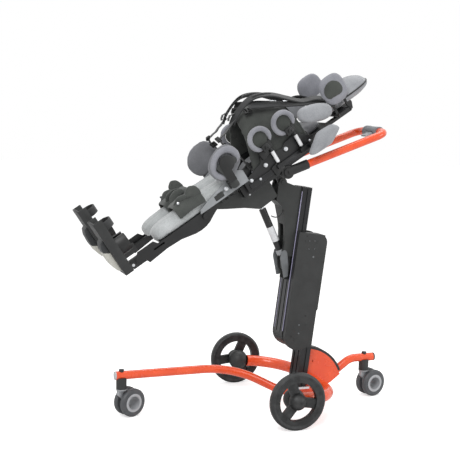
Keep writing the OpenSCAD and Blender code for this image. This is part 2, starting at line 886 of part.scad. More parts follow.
// Big wheel about an axis along y, at the far side
module big_wheel(turn) {
    translate([0, track / 2, hub_z]) rotate([-90, 0, 0]) {
        color(dark) rotate_extrude() polygon([[rim_r, -rim_w / 2],
            [wheel_d / 2 - tyre_shoulder, -wheel_w / 2], [wheel_d / 2 - tyre_edge, tyre_edge - wheel_w / 2],
            [wheel_d / 2, -wheel_w / 4], [wheel_d / 2, wheel_w / 4],
            [wheel_d / 2 - tyre_edge, wheel_w / 2 - tyre_edge],
            [wheel_d / 2 - tyre_shoulder, wheel_w / 2], [rim_r, rim_w / 2]]);
        color(black) difference() {
            union() {
                rotate_extrude() translate([rim_in, -rim_w / 2])
                    square([rim_r - rim_in - weld_gap, rim_w]);
                for (k = [0 : 2]) rotate(turn + 120 * k)
                    translate([0, -spoke_w / 2, -spoke_t / 2])
                        cube([rim_in + overrun, spoke_w, spoke_t]);
                sphere(r = hub_ball_r);
            }
            translate([0, 0, -hub_ball_r - hub_back]) cylinder(r = 2 * hub_ball_r, h = hub_ball_r);
            translate([0, 0, -hub_ball_r - hub_back])
                cylinder(r = axle_r + run_gap, h = hub_ball_r + hub_back + axle_out + axle_gap);
            translate([0, 0, hub_ball_r - dimple_d]) cylinder(r = dimple_r, h = dimple_d * 2);
        }
    }
}

module wheel_near() { on_side(-1) big_wheel(spoke_turn_near); }
module wheel_far() { on_side(1) big_wheel(spoke_turn_far); }

// Caster about a stem at the origin, its wheels trailing towards +x
module caster_fork() {
    top_z = spine_high_z - spine_r - socket_h - stem_shoulder;
    color(pale) difference() {
        union() {
            translate([0, 0, top_z - crown_h]) cylinder(r = stem_r, h = stem_h + crown_h);
            translate([0, 0, top_z - crown_h]) cylinder(r = socket_r, h = crown_h);
            side_plate([for (p = fork_shares) [p[0], p[1] * top_z / fork_r]], fork_r, fork_r,
                -fork_t / 2, fork_t);
            translate([caster_trail, 0, caster_r]) across(fork_r, fork_t);
            translate([caster_trail, 0, caster_r])
                across(hub_r + hub_wall, caster_gap + 2 * caster_w);
        }
        translate([caster_trail, 0, caster_r]) across(hub_r, far_cut);
    }
}

module caster_wheel(side) {
    bore = hub_r + hub_wall + run_gap;
    seam = bore + (caster_r - bore) * caster_seam_share;
    half = caster_w / 2 - caster_side_gap;
    on_side(side) translate([caster_trail, (caster_gap + caster_w) / 2, caster_r])
        rotate([-90, 0, 0]) {
            color(pale) rotate_extrude() translate([bore, -half]) square([seam - bore, 2 * half]);
            color(slate) rotate_extrude() polygon([[seam + weld_gap, -half],
                [caster_r - caster_edge, -half], [caster_r, -half / 2], [caster_r, half / 2],
                [caster_r - caster_edge, half], [seam + weld_gap, half]]);
        }
}

module at_front_caster() { translate([-front_reach, 0, 0]) rotate(front_swivel) children(); }
module at_rear_caster() { translate([rear_reach, 0, 0]) rotate(rear_swivel) children(); }

module caster_fork_front() { at_front_caster() caster_fork(); }
module caster_fork_rear() { at_rear_caster() caster_fork(); }
module caster_wheel_front_near() { at_front_caster() caster_wheel(-1); }
module caster_wheel_front_far() { at_front_caster() caster_wheel(1); }
module caster_wheel_rear_near() { at_rear_caster() caster_wheel(-1); }
module caster_wheel_rear_far() { at_rear_caster() caster_wheel(1); }

// Lifting column
module upper_column() {
    color(black) in_column() translate([0, -column_w / 2, upper_s])
        linear_extrude(upper_len) column_section();
}

// Outline of a side cover in the column's frame
function cover_outline(inset) =
    let (t1 = cover_t1 + cover_step - inset, r = cover_corner - inset, q = cover_boot_r - inset)
        concat([[cover_t0 + inset, cover_top - inset]],
            [for (k = [0 : 6]) let (a = 90 - 15 * k)
                [cover_t1 + cover_step - cover_corner + r * cos(a), cover_top - cover_corner + r * sin(a)]],
            [[t1, cover_step_s], [cover_t1 - inset, cover_step_s - cover_step],
                [cover_t1 - inset, cover_low + 4 * cover_step + inset]],
            [for (k = [0 : 6]) let (a = -90 - 15 * k)
                [cover_t0 + cover_boot_r + q * cos(a), cover_low + cover_boot_r + q * sin(a)]]);

module cover(side) {
    color(dark) on_side(side) in_column() {
        difference() {
            translate([0, cover_out, 0]) rotate([90, 0, 0])
                linear_extrude(cover_out - cover_in) polygon(cover_outline(0));
            translate([0, cover_out - cover_wall, 0]) rotate([90, 0, 0])
                linear_extrude(cover_out) polygon(cover_outline(cover_wall));
        }
        for (p = cover_screw_shares)
            translate([cover_t0 + p[0] * (cover_t1 - cover_t0), 0,
                cover_low + p[1] * (cover_top - cover_low)])
                    across_from(screw_r, cover_out, cover_out + screw_h);
    }
}

module cover_near() { cover(-1); }
module cover_far() { cover(1); }

// Flat cap over the upper column, and the boot that closes it below
module column_end_caps() {
    boot = upper_s - cover_low;
    edge = rear_t - boot_gap;
    color(black) in_column() {
        translate([0, -column_w / 2, upper_s + upper_len]) cube([column_d, column_w, cap_t]);
        translate([0, column_w / 2, upper_s]) rotate([90, 0, 0]) linear_extrude(column_w)
            polygon(concat([[0, 0]], [for (k = [0 : 6]) let (a = 180 + 14 * k)
                [boot_len * (1 + cos(a)), boot_len * sin(a)]],
                [[edge, -boot_len], [edge, -boot_len / 3], [column_d, 0]]));
    }
}

// Guides round the lower column, the head of the lift strut and its rod
module glide_blocks() {
    gap = fit_gap;
    back = cover_t1 - cover_wall - gap;
    start = column_d + gap;
    sides = column_w / 2 - gap;
    color(slate) in_column() {
        for (s = [glide_low, glide_high]) difference() {
            translate([start, -glide_half, s]) cube([back - start, 2 * glide_half, glide_len]);
            translate([rear_t - gap, -column_w / 2 - gap, 0])
                cube([column_d + 2 * gap, column_w + 2 * gap, 2 * far_cut]);
        }
        box([start, -glide_half, head_s], [back - cover_corner, glide_half, head_s + head_t]);
        box([start, -sides, head_s], [cover_t1 + cover_step, sides, head_s + head_t]);
    }
    color(steel) in_column() translate([rear_t + column_d / 2, 0, lift_rod_low])
        cylinder(r = lift_rod_r, h = head_s - lift_rod_low);
}

// Fin on the upper column with the tilt pin, and the ears that hold the gas spring's foot
module fin_bracket() {
    ear_s = spring_s - ear_h * ear_drop_share;
    color(dark) in_column() {
        difference() {
            union() {
                translate([-fit_gap, 0, fin_foot_s]) mirror([1, 0, 0])
                    side_plate(fin_shares, fin_reach, fin_tall, -fin_w / 2, fin_w);
                translate([pivot_t, 0, pivot_s]) across(pivot_r, fin_w);
            }
            translate([0, 0, fin_foot_s]) mirror([1, 0, 0]) side_plate(fin_hollow_shares, fin_reach,
                fin_tall, fin_wall - fin_w / 2, fin_w - 2 * fin_wall);
            translate([-fin_reach - fin_wall, -fin_channel_w / 2, fin_foot_s - overrun])
                cube([fin_reach, fin_channel_w, fin_channel_top - fin_foot_s]);
            translate([pivot_t, 0, pivot_s]) across(pin_r + weld_gap, far_cut);
        }
        difference() {
            union() {
                both_sides() translate([-fit_gap, 0, ear_s]) mirror([1, 0, 0])
                    side_plate(ear_shares, ear_reach, ear_h, ear_in, ear_t);
                translate([-fit_gap - ear_t, -ear_in - ear_t / 2, ear_s])
                    cube([ear_t, 2 * ear_in + ear_t, fin_foot_s - ear_s - weld_gap]);
            }
            translate([spring_t, 0, spring_s]) across(spring_pin_r + weld_gap, far_cut);
        }
    }
    color(steel) in_column() {
        translate([pivot_t, 0, pivot_s]) across(pin_r, fin_w + 2 * pin_head);
        translate([spring_t, 0, spring_s]) across(spring_pin_r, 2 * (ear_in + ear_t + screw_h));
    }
}

// Gas spring
module gas_cylinder() {
    color(black) in_spring() difference() {
        union() {
            translate([0, 0, gas_start]) cylinder(r = gas_r, h = gas_len);
            across(gas_eye_r, 2 * ear_in - 2 * gas_slack);
            cylinder(r = gas_eye_r * 0.7, h = gas_start + gas_slack);
        }
        across(spring_pin_r + run_gap, far_cut);
        translate([0, 0, gas_start + gas_base]) cylinder(r = gas_r - gas_wall, h = gas_len - 2 * gas_base);
        translate([0, 0, gas_start + gas_len / 2]) cylinder(r = gas_rod_r + run_gap, h = gas_len);
    }
}

// Rod with its round eye at the top
module gas_rod() {
    color(steel) in_spring() {
        translate([0, 0, gas_rod_start]) cylinder(r = gas_rod_r, h = spring_len - gas_rod_start);
        translate([0, 0, spring_len]) across(gas_head / 2, gas_head);
    }
}

module release_cable() {
    n = len(cable_route);
    color(black) loft([for (k = [0 : n - 1])
        let (d = cable_route[min(n - 1, k + 1)] - cable_route[max(0, k - 1)],
            f = d / norm(d), a = cross(f, [0, 1, 0]), b = a / norm(a), c = cross(f, b))
                [for (i = [0 : cable_sides - 1]) let (t = -360 * i / cable_sides)
                    cable_route[k] + cable_d / 2 * (b * cos(t) - c * sin(t))]]);
}

// Black side shell of the seat, standing on the shell's edge
module shell_wall() {
    translate([wall_u0, 0, shell_w0])
        side_plate(wall_shares, wall_len, wall_h, shell_half - wall_t, wall_t);
}

// Beams, cross members, tilt lugs, shells, posts and pins of the body support
module seat_frame() {
    head_slot = head_bar_w / 2 + fit_gap;
    post_out = post_half + post_r + post_rim;
    color(black) in_body() {
        difference() {
            union() {
                both_sides() {
                    translate([beam_u0, frame_half - beam_w, beam_low]) difference() {
                        cube([beam_u1 - beam_u0, beam_w, beam_h]);
                        translate([-overrun, beam_wall, beam_wall])
                            cube([far_cut * 2, beam_w - 2 * beam_wall, beam_h - 2 * beam_wall]);
                    }
                    translate([pivot_u, 0, pivot_w]) across_from(pivot_r + overrun, lug_in, lug_in + lug_t);
                    box([pivot_u - pivot_r, lug_in, pivot_w],
                        [pivot_u + pivot_r, lug_in + lug_t, cross_low + overrun]);
                    box([head_u - gas_head, spring_lug_in, head_w_pos - gas_head],
                        [head_u + gas_head, spring_lug_half, beam_top - shell_t]);
                    for (u = [lug_pad_low_u, lug_pad_high_u])
                        box([u - post_block / 2, frame_half - overrun, post_low],
                            [u + post_block / 2, post_out, post_low + post_block_h]);
                    translate([bow_u, 0, bow_w])
                        across_from(bow_boss_r, frame_half - beam_w, frame_half);
                    shell_wall();
                }
                box([beam_u0, weld_gap - belly_in, cross_low],
                    [beam_u0 + cross_len, belly_in - weld_gap, beam_top]);
                for (u = [-cross_len / 2 - overrun, beam_u1 - cross_len])
                    box([u, beam_w / 2 - frame_half, cross_low],
                        [u + cross_len, frame_half - beam_w / 2, beam_top]);
                box([beam_u0, -spring_lug_half, beam_top - 2 * shell_t],
                    [-cross_len / 2, spring_lug_half, beam_top]);
                box([shell_u0, -shell_half, beam_top - weld_gap],
                    [shell_u1, shell_half, shell_w0 + shell_t]);
                box([hip_plate_u0, -hip_plate_half, beam_top - shell_t],
                    [hip_plate_u0 + hip_plate_len, hip_plate_half, shell_w0 + shell_t]);
                box([shell_u1 - tail_len, -tail_half, cross_low - tail_drop],
                    [shell_u1, tail_half, shell_w0 + shell_t]);
            }
            translate([pivot_u, 0, pivot_w]) across(pin_r + run_gap, far_cut);
            translate([head_u, 0, head_w_pos]) across(gas_rod_r + weld_gap, far_cut / 4);
            box([beam_u0 - overrun, -gas_r - gas_slack, beam_low],
                [beam_u0 + cross_len + overrun, gas_r + gas_slack, cross_low + gas_r / 2]);
            box([beam_u0 + gas_r, -gas_head / 2 - gas_slack, beam_low],
                [head_u + gas_head, gas_head / 2 + gas_slack, beam_top + 2 * fit_gap]);
            translate([shell_u1 - far_cut, -head_slot, cross_low + shell_t - fit_gap])
                cube([2 * far_cut, 2 * head_slot, head_bar_t + 2 * fit_gap]);
            both_sides() {
                translate([bow_u, 0, bow_w])
                    across_from(bow_pin_r + weld_gap, frame_half - beam_w - overrun, far_cut / 2);
                translate([hip_pin_u, leg_spacing / 2, 0]) cylinder(r = hip_pin_r + weld_gap, h = far_cut);
                for (u = [lug_pad_low_u, lug_pad_high_u])
                    translate([u, post_half, 0]) cylinder(r = post_r + weld_gap, h = far_cut);
            }
        }
    }
    color(steel) in_body() both_sides() {
        for (u = [lug_pad_low_u, lug_pad_high_u])
            translate([u, post_half, post_low]) cylinder(r = post_r, h = post_high - post_low);
        translate([hip_pin_u, leg_spacing / 2, beam_top - shell_t])
            cylinder(r = hip_pin_r, h = shell_t + leg_base_w - beam_top + leg_base_t + hip_pin_up);
        translate([bow_u, 0, bow_w])
            across_from(bow_pin_r, frame_half - beam_w, bow_span / 2 + bow_disc_t / 2);
        translate([head_u, 0, head_w_pos])
            across_from(gas_rod_r, gas_head / 2 + gas_slack, spring_lug_half);
        translate([arm_hinge_u, 0, arm_hinge_w])
            across_from(arm_pin_r, frame_half, arm_pad_half - arm_end_gap);
    }
}

module belly_plates() {
    color(dark) in_body() both_sides() difference() {
        translate([belly_u0, 0, belly_w0])
            side_plate(belly_shares, belly_len, belly_h, belly_in, belly_t);
        for (k = belly_slot_shares) translate([belly_u0 + belly_len * k,
            belly_in - overrun, belly_w0 + belly_h * 0.85])
                cube([belly_slot_l, belly_t + 2 * overrun, belly_slot_w]);
    }
}

module body_cushion() {
    color(pale) in_body() translate([(body_pad_u0 + body_pad_u1) / 2, 0, shell_w0 + shell_t + fit_gap])
        pad(body_pad_u1 - body_pad_u0, 2 * (shell_half - wall_t - fit_gap * 4), body_pad_t, 4);
}

// Arched vest, open at both ends for the trunk
module vest() {
    h = vest_h - vest_base + beam_top;
    inner = vest_half - vest_skin;
    color(slate) in_body() loft([for (s = vest_shares)
        concat([for (i = [0 : vest_count]) let (a = 180 * i / vest_count, k = bulge(sin(a), 2.3))
                [vest_mid_u + (s[0] + s[1] * k) * vest_len,
                    vest_half * (1 - (1 - s[3]) * pow(k, 3)) * bulge(cos(a), 2.6),
                    vest_base + s[2] * h * k]],
            [for (i = [vest_count : -1 : 0])
                let (a = 180 * i / vest_count, k = bulge(sin(a), 2.3))
                    [vest_mid_u + (s[0] + s[1] * k) * vest_len,
                        (vest_half * (1 - (1 - s[3]) * pow(k, 3)) - vest_skin) * bulge(cos(a), 2.6),
                        vest_base + (s[2] * h - vest_skin) * k]])]);
}

module shoulder_cushions() {
    color(pale) in_body() both_sides()
        translate([shoulder_pos[0], shoulder_in, shoulder_pos[1]]) rotate([0, shoulder_lean, 0])
            rotate([-90, 0, 0]) pad(shoulder_l, shoulder_w, shoulder_t, 2.3);
}

module harness_straps() {
    color(black) in_body() both_sides()
        strip([for (p = strap_shares) [p[0] * strap_len, strap_low + p[1] * strap_h]], strap_in,
            strap_w, strap_t);
}

// Push bow, in a frame along its arms from the joint
module in_bow() {
    in_body() translate([bow_u, 0, bow_w]) rotate([0, -bow_turn, 0]) children();
}

module push_bow() {
    arm = bow_len - bow_start - bow_corner_r;
    color(red) in_bow() translate([bow_start, bow_span / 2, 0]) rotate([90, 0, 0])
        run([[arm], [bow_corner_r, 90], [bow_span - 2 * bow_corner_r], [bow_corner_r, 90], [arm]],
            bow_d / 2, bow_d / 2 - tube_wall);
}

module bow_joints() {
    color(black) in_bow() both_sides() difference() {
        union() {
            translate([0, bow_span / 2, 0]) across(bow_disc_r, bow_disc_t);
            translate([0, 0, 0]) across_from(bow_cap_r, bow_span / 2 + bow_disc_t / 2,
                bow_span / 2 + bow_disc_t / 2 + bow_cap_t);
            translate([0, bow_span / 2, 0]) rotate([0, 90, 0]) cylinder(r = sleeve_r, h = sleeve_len);
        }
        translate([bow_start - weld_gap, bow_span / 2, 0]) rotate([0, 90, 0])
            cylinder(r = bow_d / 2 + weld_gap, h = far_cut);
        across_from(bow_pin_r + run_gap, 0, bow_span / 2 + bow_disc_t / 2 + fit_gap);
    }
}

module grip() {
    color(slate) in_bow() translate([bow_len, 0, 0]) difference() {
        across(grip_r, grip_len);
        across(bow_d / 2 + weld_gap, far_cut);
        for (k = [0 : 3]) translate([0, grip_len / 2 - grip_r - grip_rib_pitch * k, -grip_r])
            across(grip_rib_d, grip_rib_w);
        translate([-bow_d / 2 - far_cut, -grip_slot / 2 - grip_r / 2, -lever_t - overrun])
            cube([far_cut, grip_slot, 2 * (lever_t + overrun)]);
    }
}

module grip_lever() {
    color(steel) in_bow() translate([bow_len - bow_d / 2 - lever_hub_r - weld_gap * 6,
        -grip_r / 2, 0]) union() {
            across(lever_hub_r, lever_l);
            translate([-lever_w - lever_hub_r / 2, -lever_l / 2, -lever_t / 2])
                cube([lever_w + lever_hub_r / 2, lever_l, lever_t]);
        }
}

// Head support
module head_bracket() {
    bar_w = cross_low + shell_t;
    hinge_y = head_w / 2 + head_pad_out + head_pin_r;
    color(black) in_body() {
        box([shell_u1 - head_bar_in, -head_bar_w / 2, bar_w],
            [head_bar_u1, head_bar_w / 2, bar_w + head_bar_t]);
        translate([head_block_u, 0, bar_w + head_bar_t])
            side_plate(head_block_shares, head_block_len, head_cushion_w0 - bar_w - head_bar_t,
                -head_block_half, 2 * head_block_half);
        both_sides() difference() {
            box([head_pad_u - head_wing_len / 2, head_block_half, head_wing_w],
                [head_pad_u + head_wing_len / 2, hinge_y + head_pin_r + head_wall,
                    head_wing_w + head_wing_t]);
            translate([head_pad_u, hinge_y, head_wing_w + head_wing_t / 2]) rotate([0, 90, 0])
                cylinder(r = head_pin_r + run_gap, h = far_cut, center = true);
        }
    }
}

module head_cushion() {
    color(pale) in_body() translate([head_cushion_u0 + head_len / 2, 0, head_cushion_w0 + fit_gap])
        pad(head_len, head_w, head_cushion_t, 2.4, 0.02, dome_shares);
}

// Side head pad on two arms that hinge on a pin along the head bracket's wing
module head_pad(side) {
    hinge_y = head_w / 2 + head_pad_out + head_pin_r;
    arm_y = head_w / 2 + fit_gap + head_wall / 2;
    arm_u = head_wing_len / 2 + fit_gap * 4;
    on_side(side) in_body() {
        color(pale) translate([head_pad_u, arm_y + head_stem_t + fit_gap, head_pad_w])
            rotate([-90, 0, 0]) pad(head_pad_l, head_pad_h, head_pad_t, 2.6);
        color(black) {
            translate([head_pad_u, hinge_y, head_wing_w + head_wing_t / 2]) rotate([0, 90, 0])
                cylinder(r = head_pin_r, h = 2 * arm_u + head_stem_w, center = true);
            for (u = [head_pad_u - arm_u - head_stem_w, head_pad_u + arm_u]) {
                box([u, arm_y, head_wing_w],
                    [u + head_stem_w, hinge_y + head_pin_r + head_wall, head_wing_w + head_wing_t]);
                box([u, arm_y, head_wing_w],
                    [u + head_stem_w, arm_y + head_stem_t, head_pad_w - head_pad_h / 3]);
            }
        }
    }
}

module head_pad_near() { head_pad(-1); }
module head_pad_far() { head_pad(1); }

// Trunk pads, which swing away about their posts
module trunk_pad(side, u) {
    ring_r = (trunk_pad_d - trunk_ring_t) / 2;
    on_side(side) in_body() translate([u, post_half, 0]) {
        color(black) difference() {
            box([-trunk_block_back, -trunk_block_in, trunk_block_w],
                [trunk_block_ahead, trunk_block_out, trunk_block_w + trunk_block_h]);
            cylinder(r = post_r + run_gap, h = far_cut);
        }
        translate([-trunk_pad_back, trunk_block_out + weld_gap, trunk_pad_w]) {
            color(pale) translate([0, trunk_ring_deep / 2 + fit_gap, 0]) rotate([-90, 0, 0])
                rotate(82) crescent(ring_r, trunk_ring_t, trunk_ring_deep, 20, 296);
            color(dark) across_from(ring_r - trunk_ring_t / 2 - fit_gap, 0, trunk_disc_t);
        }
    }
}

module trunk_pad_near_low() { trunk_pad(-1, lug_pad_low_u); }
module trunk_pad_near_high() { trunk_pad(-1, lug_pad_high_u); }
module trunk_pad_far_low() { trunk_pad(1, lug_pad_low_u); }
module trunk_pad_far_high() { trunk_pad(1, lug_pad_high_u); }

module arm_pad(side) {
    on_side(side) in_body() {
        color(pale) translate([arm_pad_u, arm_pad_half, arm_pad_w]) rotate([0, arm_pad_lean, 0])
            rotate([-90, 0, 0]) pad(arm_pad_l, arm_pad_h, arm_pad_t, 2.8);
        color(black) difference() {
            translate([arm_hinge_u, 0, arm_hinge_w])
                across_from(arm_hinge_r, arm_pad_half - arm_boss_len, arm_pad_half - fit_gap);
            translate([arm_hinge_u, 0, arm_hinge_w]) across_from(arm_pin_r + run_gap, 0, arm_pad_half);
        }
    }
}

module arm_pad_near() { arm_pad(-1); }
module arm_pad_far() { arm_pad(1); }

// Legs
module leg_rail(side) {
    color(black) on_side(side) in_body() difference() {
        union() {
            box([leg_u1 - leg_base_len, leg_base_in, leg_base_w],
                [leg_u1 - leg_base_gap, leg_plate_out, leg_base_w + leg_base_t]);
            translate([leg_plate_u0, 0, leg_plate_w0]) side_plate(leg_plate_shares, leg_plate_len,
                leg_plate_h, leg_plate_out - leg_plate_t, leg_plate_t);
            box([foot_bar_u0, foot_bar_y, leg_base_w - foot_bar_h],
                [foot_bar_u0 + foot_bar_len, foot_bar_y + foot_bar_w, leg_base_w + weld_gap]);
            for (u = strut_us) box([u, foot_bar_y, leg_base_w - strut_h],
                [u + strut_len, leg_plate_out - overrun, leg_base_w + weld_gap]);
            for (k = leg_knob_share) translate([leg_plate_u0 + leg_plate_len * k[0], 0,
                leg_plate_w0 + leg_plate_h * k[1]])
                    across_from(leg_knob_r, leg_plate_out - overrun, leg_plate_out + leg_knob_h);
        }
        translate([hip_pin_u, leg_spacing / 2, 0]) cylinder(r = hip_pin_r + run_gap, h = far_cut);
        translate([leg_plate_u0 + leg_plate_len * leg_slot_share[0], leg_plate_out - far_cut / 20,
            leg_plate_w0 + leg_plate_h * leg_slot_share[1]]) cube([leg_slot_l, far_cut / 10, leg_slot_w]);
    }
}

module leg_rail_near() { leg_rail(-1); }
module leg_rail_far() { leg_rail(1); }

// Half of the cushion's section, right side up, followed by its other half back down
function leg_ring(s) = let (last = len(leg_section_shares) - 1)
    [for (half = [0, 1], k = [0 : last])
        let (p = leg_section_shares[half > 0 ? last - k : k], side = half > 0 ? -1 : 1)
            [s[0] * leg_cushion_len, side * p[0] * leg_cushion_w * s[1],
                (p[1] - p[2] * s[3]) * leg_cushion_t * s[2]]];

module leg_cushion(side) {
    color(pale) on_side(side) in_body()
        translate([leg_u1 - leg_cushion_len, leg_spacing / 2, leg_base_w + leg_base_t + fit_gap])
            loft([for (s = leg_station_shares) leg_ring(s)]);
}

module leg_cushion_near() { leg_cushion(-1); }
module leg_cushion_far() { leg_cushion(1); }

module side_support_plate(side) {
    color(pale) on_side(side) in_body() difference() {
        translate([side_plate_u0, 0, side_plate_w0]) side_plate(side_plate_shares, side_plate_len,
            side_plate_h, side_plate_in, side_plate_t);
        translate([side_plate_u0 + side_plate_len * side_slot_share[0], 0,
            side_plate_w0 + side_plate_h * side_slot_share[1]])
                cube([side_slot_l, far_cut, side_slot_w]);
    }
}

module side_plate_near() { side_support_plate(-1); }
module side_plate_far() { side_support_plate(1); }

// Cushion inside a padded crescent, behind a dark plate on a cranked arm
module hip_pad(side) {
    half = hip_arm_w / 2;
    out = hip_pad_deep + hip_pad_face + 2 * fit_gap;
    on_side(side) in_body() translate([0, side_plate_out + fit_gap, 0]) {
        color(dark) {
            box([hip_arm_u - half, 0, hip_arm_w0],
                [hip_arm_u + half, hip_arm_t, hip_crank_w + hip_arm_t]);
            box([hip_arm_u - half, 0, hip_crank_w], [hip_arm_u + half, out + hip_arm_t,
                hip_crank_w + hip_arm_t]);
            box([hip_arm_u - half, out, hip_crank_w],
                [hip_arm_u + half, out + hip_arm_t, hip_pad_w]);
            translate([hip_pad_u, 0, hip_pad_w]) across_from(hip_face_r, out, out + hip_arm_t);
        }
        color(dark) translate([hip_pad_u, 0, hip_pad_w])
            across_from(hip_face_r, out - hip_pad_deep - fit_gap, out - weld_gap);
        color(pale) translate([hip_pad_u, out - fit_gap, hip_pad_w]) rotate([0, hip_pad_lean, 0]) {
            translate([0, -hip_pad_deep, 0]) rotate([90, 0, 0])
                pad((2 * hip_pad_r + hip_pad_fat) * hip_pad_stretch, 2 * hip_pad_r + hip_pad_fat,
                    hip_pad_face, 2.2);
            translate([0, -hip_pad_deep / 2, 0]) rotate([-90, 0, 0])
                crescent(hip_pad_r, hip_pad_fat - 2 * fit_gap, hip_pad_deep - 2 * fit_gap,
                    hip_gap_start, hip_gap_sweep, hip_pad_stretch);
        }
    }
}

module hip_pad_near() { hip_pad(-1); }
module hip_pad_far() { hip_pad(1); }

// Padded arch strapped over the leg cushion at the knee
module knee_wrap(side) {
    inner = leg_cushion_w / 2 + wrap_gap / 4;
    base = leg_base_w + leg_base_t + wrap_low;
    rise = leg_cushion_t * 1.1 - wrap_low + wrap_gap;
    color(slate) on_side(side) in_body() translate([wrap_u, leg_spacing / 2, base])
        loft([for (s = wrap_shares) let (h = rise + s[1] * wrap_puff)
            concat([for (i = [0 : wrap_count]) let (a = 180 * i / wrap_count)
                    [s[0] * wrap_len, (inner + wrap_skin) * bulge(cos(a), 4),
                        (h + wrap_skin) * bulge(sin(a), 3.4)]],
                [for (i = [wrap_count : -1 : 0]) let (a = 180 * i / wrap_count)
                    [s[0] * wrap_len, inner * bulge(cos(a), 4), h * bulge(sin(a), 3.4)]])]);
}

module knee_wrap_near() { knee_wrap(-1); }
module knee_wrap_far() { knee_wrap(1); }

// Feet
module foot_carriage(side) {
    y0 = foot_bar_y - carriage_wall;
    y1 = foot_bar_y + foot_bar_w + carriage_wall;
    w0 = leg_base_w - foot_bar_h;
    color(dark) on_side(side) in_body() difference() {
        union() {
            box([carriage_u0, y0, w0 - carriage_drop],
                [carriage_u0 + carriage_len, y1, leg_base_w + carriage_rise]);
            translate([foot_hinge_u, 0, foot_hinge_w]) across_from(foot_knuckle_r, y0, y1);
        }
        box([foot_slot_u0, foot_bar_y - fit_gap, w0 - fit_gap],
            [carriage_u0 + carriage_len + overrun, foot_bar_y + foot_bar_w + fit_gap,
                leg_base_w + fit_gap]);
        translate([foot_hinge_u, 0, foot_hinge_w]) across(foot_pin_r + run_gap, far_cut);
    }
}

module foot_carriage_near() { foot_carriage(-1); }
module foot_carriage_far() { foot_carriage(1); }

// Foot tray with low walls, hinge ears, pin and a rocker sole
module foot_plate(side) {
    low = foot_low + (side > 0 ? far_foot_shift : 0);
    y0 = foot_bar_y - carriage_wall;
    y1 = foot_bar_y + foot_bar_w + carriage_wall;
    on_side(side) in_body() {
        color(dark) difference() {
            union() {
                difference() {
                    box([foot_u, foot_y - foot_w / 2, low],
                        [foot_u + foot_t, foot_y + foot_w / 2, low + foot_len]);
                    box([foot_u + foot_floor, foot_y - foot_w / 2 + foot_wall, low + foot_heel],
                        [foot_u + 2 * foot_t, foot_y + foot_w / 2 - foot_wall, low + 2 * foot_len]);
                }
                for (y = [y0 - fit_gap - foot_ear_t, y1 + fit_gap]) {
                    box([foot_u + foot_floor / 2, y, foot_hinge_w - foot_knuckle_r],
                        [foot_hinge_u, y + foot_ear_t, foot_hinge_w + foot_knuckle_r]);
                    box([foot_u + foot_floor / 2, y, foot_hinge_w - foot_knuckle_r],
                        [foot_u + foot_t, y + foot_ear_t, low + foot_heel]);
                    translate([foot_hinge_u, 0, foot_hinge_w])
                        across_from(foot_knuckle_r, y, y + foot_ear_t);
                }
            }
            translate([foot_hinge_u, 0, foot_hinge_w]) across(foot_pin_r + weld_gap, far_cut);
        }
        color(steel) translate([foot_hinge_u, 0, foot_hinge_w])
            across_from(foot_pin_r, y0 - fit_gap - foot_ear_t, y1 + fit_gap + foot_ear_t);
        color(pale) translate([foot_u - weld_gap, 0, low + foot_len * sole_low_share])
            side_plate(sole_shares, -sole_t, foot_len * sole_len_share, foot_y - sole_w / 2, sole_w);
    }
}

module foot_plate_near() { foot_plate(-1); }
module foot_plate_far() { foot_plate(1); }

// Ankle cup and toe loop standing on the foot tray
module foot_support(side) {
    low = foot_low + (side > 0 ? far_foot_shift : 0);
    color(slate) on_side(side) in_body() translate([foot_u + foot_floor + weld_gap, foot_y, low]) {
        translate([0, 0, cup_rise]) rotate([0, 90, 0]) linear_extrude(cup_h) difference() {
            ring(cup_r, cup_r - cup_t);
            translate([-cup_r * (1 + cup_deep_share), -cup_r]) square([cup_r, 2 * cup_r]);
        }
        translate([0, 0, loop_rise]) linear_extrude(loop_w) difference() {
            loop_outline(loop_r);
            loop_outline(loop_r - loop_t);
            translate([-2 * loop_r, -loop_r]) square(2 * loop_r);
        }
    }
}

module loop_outline(r) {
    translate([loop_up, 0]) circle(r);
    translate([-overrun, -r]) square([loop_up + overrun, 2 * r]);
}

module foot_support_near() { foot_support(-1); }
module foot_support_far() { foot_support(1); }

// Stands the part's origin under the middle of its floor outline
module placed() { translate([origin_ahead, 0, 0]) children(); }

placed() spine_tube();
placed() cross_tube();
placed() gusset();
placed() caps_and_trim();
placed() caster_sockets();
placed() lower_column();
placed() mast_foot();
placed() wheel_near();
placed() wheel_far();
placed() caster_fork_front();
placed() caster_fork_rear();
placed() caster_wheel_front_near();
placed() caster_wheel_front_far();
placed() caster_wheel_rear_near();
placed() caster_wheel_rear_far();
placed() upper_column();
placed() cover_near();
placed() cover_far();
placed() column_end_caps();
placed() glide_blocks();
placed() fin_bracket();
placed() gas_cylinder();
placed() gas_rod();
placed() release_cable();
placed() seat_frame();
placed() belly_plates();
placed() body_cushion();
placed() vest();
placed() shoulder_cushions();
placed() harness_straps();
placed() push_bow();
placed() bow_joints();
placed() grip();
placed() grip_lever();
placed() head_bracket();
placed() head_cushion();
placed() head_pad_near();
placed() head_pad_far();
placed() trunk_pad_near_low();
placed() trunk_pad_near_high();
placed() trunk_pad_far_low();
placed() trunk_pad_far_high();
placed() arm_pad_near();
placed() arm_pad_far();
placed() leg_rail_near();
placed() leg_rail_far();
placed() leg_cushion_near();
placed() leg_cushion_far();
placed() side_plate_near();
placed() side_plate_far();
placed() hip_pad_near();
placed() hip_pad_far();
placed() knee_wrap_near();
placed() knee_wrap_far();
placed() foot_carriage_near();
placed() foot_carriage_far();
placed() foot_plate_near();
placed() foot_plate_far();
placed() foot_support_near();
placed() foot_support_far();
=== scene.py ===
# Pediatric standing frame: leaning lift column, tilting padded body support, push bow
import math
import bpy
from mathutils import Matrix, Vector


